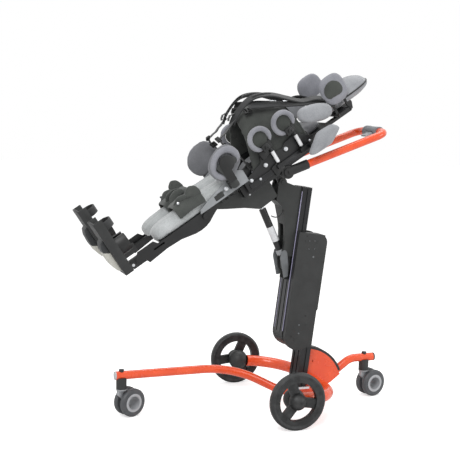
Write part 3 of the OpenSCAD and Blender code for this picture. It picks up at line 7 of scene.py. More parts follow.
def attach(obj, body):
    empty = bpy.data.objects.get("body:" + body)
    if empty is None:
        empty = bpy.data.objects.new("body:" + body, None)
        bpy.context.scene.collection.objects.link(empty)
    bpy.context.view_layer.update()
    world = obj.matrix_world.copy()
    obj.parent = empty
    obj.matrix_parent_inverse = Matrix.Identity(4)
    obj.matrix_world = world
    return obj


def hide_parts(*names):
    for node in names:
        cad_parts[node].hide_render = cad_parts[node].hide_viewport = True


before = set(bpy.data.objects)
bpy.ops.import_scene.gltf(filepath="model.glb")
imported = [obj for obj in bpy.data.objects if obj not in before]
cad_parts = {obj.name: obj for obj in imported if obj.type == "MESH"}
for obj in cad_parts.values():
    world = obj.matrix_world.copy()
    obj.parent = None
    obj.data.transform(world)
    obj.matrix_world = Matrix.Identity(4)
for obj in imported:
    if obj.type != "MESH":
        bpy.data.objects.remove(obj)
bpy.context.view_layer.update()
print("frame loaded:", len(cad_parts), "nodes")

bpy.context.scene.view_settings.view_transform = "Standard"
mm = 0.001
ahead = 94.4  # the part's origin lies this far from the big wheels' axle
bodyPlace = (Matrix.Translation((0.138417, 0, 0.821953)) @ Matrix.Rotation(-math.radians(33.5), 4, "Y")
             @ Matrix.Translation((0.006, 0, -0.009)))  # u, y, w of the body support to the room
columnPlace = Matrix.Translation(((23 + ahead) * mm, 0, 0.05)) @ Matrix.Rotation(math.radians(7.2), 4, "Y")


# ---- finishes
def colour(hexText, alpha=1.0):
    parts = [int(hexText[i:i + 2], 16) / 255 for i in (1, 3, 5)]
    return tuple(c / 12.92 if c <= 0.04045 else ((c + 0.055) / 1.055) ** 2.4 for c in parts) + (alpha,)


def addNode(tree, kind, inputs=None, **settings):
    n = tree.nodes.new(kind)
    for key, value in settings.items():
        setattr(n, key, value)
    for key, value in (inputs or {}).items():
        if isinstance(value, bpy.types.NodeSocket):
            tree.links.new(value, n.inputs[key])
        else:
            n.inputs[key].default_value = value
    return n


def startFinish(name, rough, metallic=0.0, **sockets):
    mat = bpy.data.materials.new(name)
    mat.use_nodes = True
    tree = mat.node_tree
    shader = tree.nodes["Principled BSDF"]
    shader.inputs["Roughness"].default_value = rough
    shader.inputs["Metallic"].default_value = metallic
    for key, value in sockets.items():
        shader.inputs[key].default_value = value
    place = addNode(tree, "ShaderNodeTexCoord").outputs["Object"]
    return mat, tree, shader, place


def tone(tree, place, shader, dark, light, sizeMm, low=0.35, high=0.65, detail=4.0):
    # slow change of colour over patches of sizeMm
    noise = addNode(tree, "ShaderNodeTexNoise", {"Vector": place, "Scale": 1000 / sizeMm, "Detail": detail})
    ramp = addNode(tree, "ShaderNodeMapRange", {"Value": noise.outputs["Fac"], "From Min": low, "From Max": high})
    mix = addNode(tree, "ShaderNodeMix", {"Factor": ramp.outputs["Result"], "A": colour(dark), "B": colour(light)},
                  data_type="RGBA")
    mixOut = [o for o in mix.outputs if o.type == "RGBA"][0]
    tree.links.new(mixOut, shader.inputs["Base Color"])
    return mixOut


def mixColour(tree, factor, a, b, blend="MIX"):
    mix = addNode(tree, "ShaderNodeMix", data_type="RGBA", blend_type=blend)
    for socket, value in ((mix.inputs[0], factor), (mix.inputs[6], a), (mix.inputs[7], b)):
        if isinstance(value, bpy.types.NodeSocket):
            tree.links.new(value, socket)
        else:
            socket.default_value = value
    return mix.outputs[2]


def bump(tree, shader, height, strength, depthMm):
    b = addNode(tree, "ShaderNodeBump", {"Height": height, "Strength": strength, "Distance": depthMm * mm})
    tree.links.new(b.outputs["Normal"], shader.inputs["Normal"])
    return b


def roughBy(tree, shader, place, sizeMm, low, high):
    noise = addNode(tree, "ShaderNodeTexNoise", {"Vector": place, "Scale": 1000 / sizeMm, "Detail": 3.0})
    ramp = addNode(tree, "ShaderNodeMapRange", {"Value": noise.outputs["Fac"], "To Min": low, "To Max": high})
    tree.links.new(ramp.outputs["Result"], shader.inputs["Roughness"])


def powderCoat(name, dark, light, rough=0.3, coat=0.25):
    # sprayed powder, baked on: even colour, faint orange peel of about 2 mm, soft highlights
    mat, tree, shader, place = startFinish(name, rough, **{"Coat Weight": coat, "Coat Roughness": 0.12, "IOR": 1.5})
    tone(tree, place, shader, dark, light, 60)
    peel = addNode(tree, "ShaderNodeTexNoise", {"Vector": place, "Scale": 500.0, "Detail": 2.0})
    bump(tree, shader, peel.outputs["Fac"], 0.12, 0.3)
    roughBy(tree, shader, place, 25, rough - 0.05, rough + 0.1)
    return mat


def mouldedPlastic(name, dark, light, rough=0.5, grainMm=1.6):
    # injection moulded nylon or ABS: spark grain of about 1.6 mm as drawn
    mat, tree, shader, place = startFinish(name, rough, **{"IOR": 1.49})
    tone(tree, place, shader, dark, light, 45)
    grain = addNode(tree, "ShaderNodeTexVoronoi", {"Vector": place, "Scale": 1000 / grainMm})
    bump(tree, shader, grain.outputs["Distance"], 0.15, 0.25)
    roughBy(tree, shader, place, 30, rough - 0.06, rough + 0.12)
    return mat


def upholstery(name, dark, light, weaveMm=3.0, rough=0.85, sheen=0.35, fold=0.6):
    # knitted polyester over foam: soft sheen, a knit drawn at 3 mm so that it shows, slow rubbed patches
    mat, tree, shader, place = startFinish(name, rough, **{"Sheen Weight": sheen, "Sheen Roughness": 0.5,
                                                           "IOR": 1.45})
    base = tone(tree, place, shader, dark, light, 55, 0.3, 0.7)
    knit = addNode(tree, "ShaderNodeTexVoronoi", {"Vector": place, "Scale": 1000 / weaveMm})
    shade = addNode(tree, "ShaderNodeMapRange", {"Value": knit.outputs["Distance"], "From Max": 0.8,
                                                  "To Min": 1.04, "To Max": 0.86})
    speck = addNode(tree, "ShaderNodeCombineColor",
                    {key: shade.outputs["Result"] for key in ("Red", "Green", "Blue")})
    tree.links.new(mixColour(tree, 1.0, base, speck.outputs["Color"], "MULTIPLY"), shader.inputs["Base Color"])
    crease = addNode(tree, "ShaderNodeTexNoise", {"Vector": place, "Scale": 1000 / 38, "Detail": 3.0})
    total = addNode(tree, "ShaderNodeMath", {0: crease.outputs["Fac"], 1: fold}, operation="MULTIPLY")
    both = addNode(tree, "ShaderNodeMath", {0: knit.outputs["Distance"], 1: total.outputs["Value"]},
                   operation="ADD")
    bump(tree, shader, both.outputs["Value"], 0.35, 1.1)
    return mat


def webbing(name, dark, light, ribMm=3.5):
    # woven nylon strap: ribs across it, drawn at 3.5 mm, a little shine on the ribs
    mat, tree, shader, place = startFinish(name, 0.65, **{"Sheen Weight": 0.2})
    tone(tree, place, shader, dark, light, 30)
    ribs = addNode(tree, "ShaderNodeTexWave", {"Vector": place, "Scale": 1000 / ribMm / 20, "Distortion": 1.0,
                                               "Detail": 2.0}, bands_direction="DIAGONAL")
    bump(tree, shader, ribs.outputs["Fac"], 0.4, 0.6)
    return mat


def plainMetal(name, dark, light, rough=0.28):
    # turned or drawn steel and anodised alloy: fine drawn lines along its length
    mat, tree, shader, place = startFinish(name, rough, 1.0)
    tone(tree, place, shader, dark, light, 12)
    drawn = addNode(tree, "ShaderNodeMapping", {"Vector": place, "Scale": (1, 1, 0.05)})
    line = addNode(tree, "ShaderNodeTexNoise", {"Vector": drawn.outputs["Vector"], "Scale": 900.0})
    bump(tree, shader, line.outputs["Fac"], 0.08, 0.2)
    roughBy(tree, shader, place, 8, rough - 0.06, rough + 0.08)
    return mat


def roundTwoTone(name, centre, split, inner, outer, rough=0.6, axis=None):
    # moulded wheel: core inside split mm of its middle, tread outside it
    mat, tree, shader, place = startFinish(name, rough, **{"IOR": 1.5})
    off = addNode(tree, "ShaderNodeVectorMath", {0: place, 1: tuple(centre)}, operation="SUBTRACT")
    if axis:
        off = addNode(tree, "ShaderNodeVectorMath", {0: off.outputs["Vector"], 1: axis}, operation="MULTIPLY")
    far = addNode(tree, "ShaderNodeVectorMath", {0: off.outputs["Vector"]}, operation="LENGTH")
    side = addNode(tree, "ShaderNodeMath", {0: far.outputs["Value"], 1: split * mm}, operation="GREATER_THAN")
    dust = addNode(tree, "ShaderNodeTexNoise", {"Vector": place, "Scale": 1000 / 22, "Detail": 5.0})
    worn = addNode(tree, "ShaderNodeMapRange", {"Value": dust.outputs["Fac"], "From Min": 0.4, "From Max": 0.75,
                                                "To Max": 0.1})
    two = mixColour(tree, side.outputs["Value"], colour(inner), colour(outer))
    tree.links.new(mixColour(tree, worn.outputs["Result"], two, colour("#8E8F90")), shader.inputs["Base Color"])
    grip = addNode(tree, "ShaderNodeTexNoise", {"Vector": place, "Scale": 650.0})
    bump(tree, shader, grip.outputs["Fac"], 0.15, 0.3)
    return mat


def splitTone(name, axis, limit, below, above):
    # one moulding in two colours, parted where the axis reaches limit
    mat, tree, shader, place = startFinish(name, 0.5)
    split = addNode(tree, "ShaderNodeSeparateXYZ", {"Vector": place})
    isBelow = addNode(tree, "ShaderNodeMath", {0: split.outputs[axis], 1: limit}, operation="LESS_THAN")
    tree.links.new(mixColour(tree, isBelow.outputs["Value"], colour(above), colour(below)),
                   shader.inputs["Base Color"])
    grain = addNode(tree, "ShaderNodeTexVoronoi", {"Vector": place, "Scale": 600.0})
    bump(tree, shader, grain.outputs["Distance"], 0.15, 0.25)
    return mat


def wear(nodeName, mat):
    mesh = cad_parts[nodeName].data
    mesh.materials.clear()
    mesh.materials.append(mat)


finishes = {
    "coatRed": powderCoat("powderCoatRed", "#E34A1B", "#EE5624", 0.24, 0.4),
    "coatBlack": powderCoat("powderCoatBlack", "#0D0E0F", "#151617", 0.4, 0.0),
    "coatGraphite": powderCoat("texturedCoatGraphite", "#222423", "#2C2E2D", 0.5, 0.0),
    "anodised": powderCoat("anodisedBlackAlloy", "#0C0D0F", "#131417", 0.3, 0.0),
    "shell": mouldedPlastic("mouldedShell", "#222323", "#2A2B2B", 0.5, 1.6),
    "blackPlastic": mouldedPlastic("mouldedBlack", "#0C0D0D", "#151616", 0.42, 1.4),
    "greyPlastic": mouldedPlastic("mouldedGrey", "#8F9194", "#A4A6A9", 0.45, 1.6),
    "sidePlate": mouldedPlastic("mouldedSidePlate", "#7F8284", "#94979A", 0.5, 2.0),
    "solePad": splitTone("mouldedSole", "Z", 0.6, "#BDBCB4", "#26282A"),  # pale under the heel only
    "steel": plainMetal("brightSteel", "#C4C6C9", "#DFE1E4"),
    "padLight": upholstery("knitLightGrey", "#8E9094", "#A2A4A8"),
    "padMid": upholstery("knitMidGrey", "#717276", "#838488"),
    "rimLight": upholstery("knitRim", "#7F8087", "#93949B", 2.5),
    "legMesh": upholstery("spacerMeshLilac", "#A6AAAA", "#C0C3C4", 4.0, 0.8, 0.4, 0.4),
    "vestCloth": upholstery("vestCloth", "#383A38", "#4A4D4A", 3.2, 0.9, 0.25, 1.2),
    "padDark": upholstery("knitDarkGreen", "#3A3D3A", "#484B47", 2.6, 0.9, 0.2, 0.5),
    "wrapCloth": upholstery("wrapCloth", "#3C3F3D", "#4D504D", 3.0, 0.9, 0.25, 0.9),
    "strapBlack": webbing("webbingBlack", "#121314", "#202122"),
    "gripGrey": mouldedPlastic("softGrip", "#6E7175", "#85888C", 0.6, 1.2),
    "cable": mouldedPlastic("cableSheath", "#0E0E0F", "#19191A", 0.4, 1.5),
    "screwGrey": mouldedPlastic("greyScrewCaps", "#5E6163", "#6F7275", 0.4, 1.2),
    # painted highlight: a pale lilac line where the anodised column's front edge catches the light
    "edgeHighlight": powderCoat("paintedEdgeHighlight", "#8E8AA6", "#A19DB8", 0.25, 0.2),
    # painted highlight: white colour stands for the bright highlight strips along the black side posts
    "postHighlightPaint": mouldedPlastic("paintedPostHighlight", "#D9DADB", "#E9EAEB", 0.4, 1.4),
    "labelWhite": mouldedPlastic("blankFoilBand", "#C9CACD", "#DEDFE1", 0.35, 1.8),
}

nodeFinish = {
    "spine_tube": "coatRed", "cross_tube": "coatRed", "gusset": "coatRed", "push_bow": "coatRed",
    "caster_sockets": "shell", "lower_column": "anodised", "upper_column": "anodised", "mast_foot": "steel",
    "cover_near": "shell", "cover_far": "shell", "column_end_caps": "blackPlastic", "glide_blocks": "blackPlastic",
    "fin_bracket": "coatGraphite", "gas_cylinder": "coatBlack", "gas_rod": "steel", "release_cable": "cable",
    "seat_frame": "coatBlack", "belly_plates": "coatGraphite", "bow_joints": "blackPlastic", "grip": "gripGrey",
    "grip_lever": "greyPlastic", "head_bracket": "coatBlack", "caster_fork_front": "greyPlastic",
    "caster_fork_rear": "greyPlastic", "leg_rail_near": "coatBlack", "leg_rail_far": "coatBlack",
    "side_plate_near": "sidePlate", "side_plate_far": "sidePlate", "foot_carriage_near": "shell",
    "foot_carriage_far": "shell", "foot_plate_near": "shell", "foot_plate_far": "shell",
    "foot_support_near": "shell", "foot_support_far": "shell",
}
for nodeName, key in nodeFinish.items():
    wear(nodeName, finishes[key])
for side, y in (("near", -310), ("far", 310)):  # half the track of the big wheels, 100 mm in radius
    wear("wheel_" + side, roundTwoTone("bigWheel_" + side, (ahead * mm, y * mm, 0.1), 84, "#0D0E0F", "#1B1C1D",
                                       0.5, (1, 0, 1)))
for end, x, turn in (("front", -536, 22), ("rear", 405, 12)):  # swivel axis from the big wheels' axle, turn
    c, s = math.cos(math.radians(turn)), math.sin(math.radians(turn))
    for side, out in (("near", -18.5), ("far", 18.5)):
        middle = ((x + ahead + 35 * c - out * s) * mm, (35 * s + out * c) * mm, 0.05)
        wear("caster_wheel_%s_%s" % (end, side), roundTwoTone("caster_%s_%s" % (end, side), middle, 34,
                                                              "#A9ABAE", "#45474A", 0.5))
wear("caps_and_trim", splitTone("mouldedCaps", "X", -0.4, "#B8BABC", "#1A1B1C"))  # front cap pale, rest black
print("finishes on the solid pieces")


# ---- camera, light and floor
def makeCamera():
    settings = {"place": (-1.2897, -3.4590, 1.1303), "azimuth": -19.74, "height": 7.437, "roll": 1.01,
                "lens": 81.6}
    a, e, r = (math.radians(settings[k]) for k in ("azimuth", "height", "roll"))
    back = Vector((math.sin(a) * math.cos(e), -math.cos(a) * math.cos(e), math.sin(e)))
    right = Vector((math.cos(a), math.sin(a), 0))
    up = back.cross(right)
    right, up = right * math.cos(r) + up * math.sin(r), up * math.cos(r) - right * math.sin(r)
    data = bpy.data.cameras.new("photoCamera")
    data.lens = settings["lens"]
    data.sensor_width = 36
    camera = bpy.data.objects.new("photoCamera", data)
    camera.matrix_world = Matrix.Translation(settings["place"]) @ Matrix((right, up, back)).transposed().to_4x4()
    bpy.context.scene.collection.objects.link(camera)
    bpy.context.scene.camera = camera


def makeLight(name, place, target, size, watts):
    data = bpy.data.lights.new(name, "AREA")
    data.shape = "DISK"
    data.size = size
    data.energy = watts
    lamp = bpy.data.objects.new(name, data)
    away = Vector(target) - Vector(place)
    lamp.matrix_world = Matrix.Translation(place) @ away.to_track_quat("-Z", "Y").to_matrix().to_4x4()
    bpy.context.scene.collection.objects.link(lamp)


def makeStudio():
    makeLight("softKey", (-1.9, -2.6, 3.4), (0, 0, 0.6), 2.2, 88)
    makeLight("softTop", (0.8, 0.6, 3.6), (0, 0, 0.5), 2.6, 46)
    makeLight("softFill", (3.0, -2.4, 1.6), (0, 0, 0.6), 2.0, 30)
    world = bpy.data.worlds.new("paleStudio")
    bpy.context.scene.world = world
    world.use_nodes = True
    tree = world.node_tree
    rays = addNode(tree, "ShaderNodeLightPath")
    seen = addNode(tree, "ShaderNodeMath", {0: rays.outputs["Is Camera Ray"], 1: rays.outputs["Is Glossy Ray"]},
                   operation="MAXIMUM")
    seen = addNode(tree, "ShaderNodeMath", {0: seen.outputs["Value"], 1: rays.outputs["Is Transmission Ray"]},
                   operation="MAXIMUM")
    level = addNode(tree, "ShaderNodeMapRange", {"Value": seen.outputs["Value"], "To Min": 0.52, "To Max": 1.0})
    tree.nodes["Background"].inputs["Color"].default_value = (1, 1, 1, 1)
    tree.links.new(level.outputs["Result"], tree.nodes["Background"].inputs["Strength"])
    bpy.ops.mesh.primitive_circle_add(vertices=64, radius=14, fill_type="NGON", location=(0, 0, -0.0005))
    floor = bpy.context.object
    floor.name = "paleFloor"
    mat, tree, shader, place = startFinish("paleFloorPaint", 0.7)  # matt white paint, still shadowed
    shader.inputs["Base Color"].default_value = colour("#F4F4F4")
    rays = addNode(tree, "ShaderNodeLightPath")
    lift = addNode(tree, "ShaderNodeMath", {0: rays.outputs["Is Camera Ray"], 1: 0.5}, operation="MULTIPLY")
    shader.inputs["Emission Color"].default_value = (1, 1, 1, 1)
    tree.links.new(lift.outputs["Value"], shader.inputs["Emission Strength"])
    floor.data.materials.append(mat)


makeCamera()
makeStudio()
print("camera, light and floor")


# ---- how pieces are made
def only(*pieces):
    bpy.ops.object.select_all(action="DESELECT")
    for p in pieces:
        p.select_set(True)
    bpy.context.view_layer.objects.active = pieces[0]


def editing(piece, selectMode="VERT", everything=True):
    only(piece)
    bpy.ops.object.mode_set(mode="EDIT")
    bpy.ops.mesh.select_mode(type=selectMode)
    bpy.ops.mesh.select_all(action="SELECT" if everything else "DESELECT")


def leaveEdit():
    bpy.ops.object.mode_set(mode="OBJECT")


def pick(piece, test, kind="faces"):
    # selects the faces, edges or points that pass the test, for the next edit
    leaveEdit()
    for group in (piece.data.vertices, piece.data.edges, piece.data.polygons):
        for item in group:
            item.select = False
    if kind == "points":
        for v in piece.data.vertices:
            v.select = test(v.co)
    elif kind == "edges":
        for e in piece.data.edges:
            a, b = (piece.data.vertices[i].co for i in e.vertices)
            e.select = test(a, b)
    else:
        for f in piece.data.polygons:
            f.select = test(f.center, f.normal)
    bpy.ops.object.mode_set(mode="EDIT")


def settle(piece, place=None):
    # puts the piece's place and turn into its mesh
    if bpy.context.mode != "OBJECT":
        leaveEdit()
    if place is not None:
        piece.matrix_world = place @ piece.matrix_world
    only(piece)
    bpy.ops.object.transform_apply(location=True, rotation=True, scale=True)


def useModifiers(piece):
    only(piece)
    for m in list(piece.modifiers):
        bpy.ops.object.modifier_apply(modifier=m.name)


def smoothen(piece, angle=35):
    only(piece)
    bpy.ops.object.shade_smooth_by_angle(angle=math.radians(angle))


def done(piece, name, body, finish, replaced=()):
    piece.name = name
    piece.data.name = name
    piece.data.materials.clear()
    piece.data.materials.append(finishes[finish] if isinstance(finish, str) else finish)
    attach(piece, body)
    if replaced:
        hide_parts(*replaced)
    return piece


def shellsOf(nodeName):
    # the loose solids of a CAD node as pieces of their own, the largest first
    copy = bpy.data.objects.new(nodeName + "_copy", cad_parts[nodeName].data.copy())
    bpy.context.scene.collection.objects.link(copy)
    editing(copy)
    bpy.ops.mesh.remove_doubles(threshold=0.00001)
    bpy.ops.mesh.separate(type="LOOSE")
    leaveEdit()
    return sorted(bpy.context.selected_objects, key=lambda p: -p.dimensions.x * p.dimensions.y * p.dimensions.z)


def mirrored(piece, name):
    # the same piece on the far side
    twin = bpy.data.objects.new(name, piece.data.copy())
    bpy.context.scene.collection.objects.link(twin)
    twin.scale = (1, -1, 1)
    settle(twin)
    editing(twin)
    bpy.ops.mesh.normals_make_consistent(inside=False)
    leaveEdit()
    return twin


def shifted(piece, name, place):
    twin = bpy.data.objects.new(name, piece.data.copy())
    bpy.context.scene.collection.objects.link(twin)
    settle(twin, place)
    return twin


def puff(piece, voxel, pressure, cap, shrink=0.0, stiff=15.0):
    # stuffed cover: remesh, let it swell, cap each point's travel, keep it smooth
    remesh = piece.modifiers.new("remesh", "REMESH")
    remesh.mode = "VOXEL"
    remesh.voxel_size = voxel * mm
    useModifiers(piece)
    if shrink:
        only(piece)
        for v in piece.data.vertices:
            v.co -= v.normal * shrink * mm
    start = [v.co.copy() for v in piece.data.vertices]
    cloth = piece.modifiers.new("swell", "CLOTH")
    cloth.settings.quality = 4
    cloth.settings.mass = 0.3
    cloth.settings.tension_stiffness = stiff
    cloth.settings.compression_stiffness = stiff
    cloth.settings.shear_stiffness = 5
    cloth.settings.bending_stiffness = 0.5
    cloth.settings.use_pressure = True
    cloth.settings.uniform_pressure_force = pressure
    cloth.settings.effector_weights.gravity = 0
    cloth.point_cache.frame_start = 1
    cloth.point_cache.frame_end = 20
    for n in range(1, 21):
        bpy.context.scene.frame_set(n)
    useModifiers(piece)
    bpy.context.scene.frame_set(1)
    for v, s in zip(piece.data.vertices, start):
        step = v.co - s
        if step.length > cap * mm:
            v.co = s + step * (cap * mm / step.length)
    even = piece.modifiers.new("even", "SMOOTH")
    even.factor = 0.5
    even.iterations = 4
    fine = piece.modifiers.new("fine", "SUBSURF")
    fine.levels = fine.render_levels = 1
    useModifiers(piece)
    only(piece)
    bpy.ops.object.shade_smooth()
    return piece


def beadRound(piece, at, normal, radius, name, resolution=3):
    # a bead of its own along the outline that a plane cuts through a piece
    cut = piece.copy()
    cut.data = piece.data.copy()
    bpy.context.scene.collection.objects.link(cut)
    editing(cut)
    bpy.ops.mesh.bisect(plane_co=at, plane_no=normal, use_fill=False, clear_inner=True, clear_outer=True)
    leaveEdit()
    only(cut)
    bpy.ops.object.convert(target="CURVE")
    cut = bpy.context.object
    cut.data.bevel_depth = radius * mm
    cut.data.bevel_resolution = resolution
    bpy.ops.object.convert(target="MESH")
    cut = bpy.context.object
    bpy.ops.object.shade_smooth()
    cut.name = name
    return cut


def joined(pieces):
    only(*pieces)
    bpy.ops.object.join()
    return bpy.context.object


def welted(piece, at, normal, radius=1.3):
    # sewn welt round a pad: a thin bead along its outline, joined to the pad
    return joined([piece, beadRound(piece, at, normal, radius, "welt", 2)])


# ---- padded pieces
padSettings = {
    "body": {"node": "body_cushion", "voxel": 5, "pressure": 4, "cap": 6, "finish": "padMid", "fill": 0.7},
    "head": {"node": "head_cushion", "voxel": 5, "pressure": 4, "cap": 6, "finish": "padLight", "fill": 0.8},
    "leg": {"node": "leg_cushion_near", "voxel": 4, "pressure": 4, "cap": 4, "finish": "legMesh", "fill": 0.7},
    "shoulder": {"node": "shoulder_cushions", "voxel": 4.5, "pressure": 4, "cap": 6, "finish": "padLight", "fill": 0.7},
}


def padFrom(key, body, name, chosen=0):
    s = padSettings[key]
    shells = shellsOf(s["node"])
    piece = shells.pop(chosen)
    for other in shells:
        bpy.data.objects.remove(other)
    puff(piece, s["voxel"], s["pressure"], s["cap"])
    done(piece, name, body, s["finish"], [s["node"]])
    return piece


padFrom("body", "body_support", "bodyCushion")
headPad = padFrom("head", "head", "headCushion")
legNear = padFrom("leg", "leg_near", "legCushionNear")
legFar = mirrored(legNear, "legCushionFar")
done(legFar, "legCushionFar", "leg_far", "legMesh", ["leg_cushion_far"])
shoulderNear = padFrom("shoulder", "body_support", "shoulderCushionNear")
if shoulderNear.data.vertices[0].co.y > 0:
    shoulderNear.name = "shoulderCushionFar"
shoulderFar = mirrored(shoulderNear, "shoulderCushionTwin")
done(shoulderFar, "shoulderCushionTwin", "body_support", "padLight", ["shoulder_cushions"])
print("cushions and leg pads")


def splitShells(nodeName, limits):
    # shells of a node sorted by name with a test on their box in the body's own directions
    found = {}
    turn = bodyPlace.inverted()
    for shell in shellsOf(nodeName):
        points = [turn @ v.co for v in shell.data.vertices]
        low = [min(p[i] for p in points) / mm for i in range(3)]
        high = [max(p[i] for p in points) / mm for i in range(3)]
        for key, test in limits.items():
            if key not in found and test(low, high):
                found[key] = shell
                break
        else:
            bpy.data.objects.remove(shell)
    return found


def hardened(shell, width=1.5, segments=2):
    # softens a hard shell's corners as moulding does
    edge = shell.modifiers.new("edge", "BEVEL")
    edge.width = width * mm
    edge.segments = segments
    edge.limit_method = "ANGLE"
    edge.angle_limit = math.radians(40)
    useModifiers(shell)
    smoothen(shell)
    return shell


def trunkPads():
    near = splitShells("trunk_pad_near_low", {"rim": lambda a, b: b[0] - a[0] > 80,
                                              "plate": lambda a, b: b[2] > 230, "block": lambda a, b: True})
    puff(near["rim"], 4, 4, 4)
    hardened(near["plate"], 3, 3)
    hardened(near["block"], 2.5)
    step = bodyPlace @ Matrix.Translation((0.102, 0, 0)) @ bodyPlace.inverted()  # low pad to high pad, 102 mm apart
    for level, place in (("low", Matrix.Identity(4)), ("high", step)):
        for side in ("near", "far"):
            node, body = "trunk_pad_%s_%s" % (side, level), "trunk_%s_%s" % (side, level)
            for key, finish, slot in (("rim", "rimLight", "pad"), ("plate", "padDark", "cloth"),
                                      ("block", "blackPlastic", "black_metal")):
                name = "trunk%s%s%s" % (key.capitalize(), side.capitalize(), level.capitalize())
                piece = shifted(near[key], name, place)
                if side == "far":
                    twin = mirrored(piece, name + "Twin")
                    bpy.data.objects.remove(piece)
                    piece = twin
                done(piece, name, body, finish, [node])
    for shell in near.values():
        bpy.data.objects.remove(shell)


trunkPads()
print("trunk pads")


def turned(u, y, w):
    return bodyPlace @ Vector((u * mm, y * mm, w * mm))


bodyUp = bodyPlace.to_3x3() @ Vector((0, 0, 1))
bodyAlong = bodyPlace.to_3x3() @ Vector((1, 0, 0))
across = Vector((0, 1, 0))


def plateOf(outline, y, thick, edge=1.2, rounds=0.0):
    # flat plate across the body support: outline (u, w) at y, thick towards -y when negative
    bpy.ops.object.select_all(action="DESELECT")
    bpy.ops.mesh.primitive_circle_add(vertices=len(outline), radius=1, fill_type="NGON")
    piece = bpy.context.object
    for v, (u, w) in zip(piece.data.vertices, outline):
        v.co = (u * mm, y * mm, w * mm)
    editing(piece)
    if rounds:
        bpy.ops.mesh.bevel(offset=rounds * mm, segments=4, affect="VERTICES")
        bpy.ops.mesh.select_all(action="SELECT")
    bpy.ops.mesh.extrude_region_move(TRANSFORM_OT_translate={"value": (0, thick * mm, 0)})
    bpy.ops.mesh.select_all(action="SELECT")
    bpy.ops.mesh.normals_make_consistent(inside=False)
    leaveEdit()
    hardened(piece, edge)
    settle(piece, bodyPlace)
    return piece


def bothSides(piece, name, body, finish, nodes=()):
    # finishes a near piece and its mirrored twin; {} in a name stands for the side
    twin = mirrored(piece, "twin")
    for p, side in ((piece, "near"), (twin, "far")):
        done(p, name + side.capitalize(), body.format(side), finish, [n.format(side) for n in nodes])
    return piece, twin


hipSettings = {"hook": [(-135, 214), (-161, 228), (-192, 226), (-216, 220), (-222, 207), (-206, 189), (-205, 166),
                        (-203, 140), (-203, 124), (-173, 124), (-174, 150), (-176, 178), (-166, 196), (-142, 196)],
               "faceIn": 124.0, "plateAt": -139.6, "plateThick": -5.2}


def hipPads():
    near = splitShells("hip_pad_near", {"arm": lambda a, b: a[2] < 140, "cushion": lambda a, b: b[1] - a[1] > 25,
                                        "rim": lambda a, b: True})
    cushion = near["cushion"]
    editing(cushion)
    bpy.ops.mesh.bisect(plane_co=(0, -hipSettings["faceIn"] * mm, 0), plane_no=(0, 1, 0), use_fill=True,
                        clear_inner=True)
    leaveEdit()
    puff(cushion, 4, 4, 4)
    welted(cushion, turned(-176, -116.5, 212), across)
    puff(near["rim"], 4, 4, 4)
    bothSides(cushion, "hipCushion", "hip_{}", "padMid", ["hip_pad_{}"])
    bothSides(near["rim"], "hipRim", "hip_{}", "rimLight", ["hip_pad_{}"])
    arm = hardened(near["arm"], 1.5)
    bothSides(arm, "hipArm", "hip_{}", "blackPlastic", ["hip_pad_{}"])
    hook = plateOf(hipSettings["hook"], hipSettings["plateAt"], hipSettings["plateThick"], 1.6, 9)
    bothSides(hook, "hipHook", "hip_{}", "coatGraphite")


armOutline = [(86, 74), (150, 122), (214, 117), (235, 92), (180, 60), (104, 62)]


def armPads():
    near = splitShells("arm_pad_near", {"pad": lambda a, b: b[0] - a[0] > 80, "boss": lambda a, b: True})
    bpy.data.objects.remove(near["pad"])
    pad = puff(plateOf(armOutline, -147, -22, 4, 8), 4, 4, 3)
    welted(pad, turned(160, -158, 92), across)
    bothSides(pad, "armPad", "arm_{}", "padLight", ["arm_pad_{}"])
    bothSides(hardened(near["boss"], 2), "armBoss", "arm_{}", "blackPlastic", ["arm_pad_{}"])


def headPads():
    shells = shellsOf("head_pad_near")
    # the photo shows the pad a little longer and taller than the solid, about its own middle
    grow = (bodyPlace @ Matrix.Translation((0.306, 0, 0.199)) @ Matrix.Diagonal((1.04, 1, 1.18, 1))
            @ Matrix.Translation((-0.306, 0, -0.205)) @ bodyPlace.inverted())
    shells[0].data.transform(grow)
    puff(shells[0], 4, 4, 4)
    welted(shells[0], (0, sum(v.co.y for v in shells[0].data.vertices) / len(shells[0].data.vertices), 0), across)
    bothSides(shells[0], "headPad", "head_side_{}", "rimLight", ["head_pad_{}"])
    for n, other in enumerate(shells[1:]):
        bothSides(hardened(other, 1.2), "headPadPart%d" % n, "head_side_{}", "blackPlastic",
                  ["head_pad_{}"])


def footParts():
    for side in ("near", "far"):
        cup, loop = shellsOf("foot_support_" + side)
        for p in (cup, loop):
            hardened(p, 1.6)
        if sum(v.co.z for v in cup.data.vertices) / len(cup.data.vertices) > sum(
                v.co.z for v in loop.data.vertices) / len(loop.data.vertices):
            cup, loop = loop, cup
        done(cup, "ankleCup" + side.capitalize(), "foot_" + side, "blackPlastic",
             ["foot_support_" + side])
        done(loop, "toeLoop" + side.capitalize(), "foot_" + side, "strapBlack", ["foot_support_" + side])
        tray, *rest = shellsOf("foot_plate_" + side)
        for k, p in enumerate([tray] + rest):
            sole = min((bodyPlace.inverted() @ v.co).x for v in p.data.vertices) < -0.680
            steel = max((bodyPlace.inverted() @ v.co).z for v in p.data.vertices) < 0.105
            hardened(p, 2.0 if k == 0 else 1.0)
            done(p, "footPart%d%s" % (k, side.capitalize()), "foot_" + side,
                 "solePad" if sole else ("steel" if steel else "shell"),
                 ["foot_plate_" + side])


def smoothPath(points, steps=8):
    # a smooth line through (u, w) points
    line = []
    ends = [points[0]] + list(points) + [points[-1]]
    for a, b, c, d in zip(ends, ends[1:], ends[2:], ends[3:]):
        for k in range(steps):
            t = k / steps
            line.append(tuple(0.5 * (2 * q + (r - p) * t + (2 * p - 5 * q + 4 * r - s) * t * t
                                     + (3 * q - p - 3 * r + s) * t ** 3) for p, q, r, s in zip(a, b, c, d)))
    return line + [points[-1]]


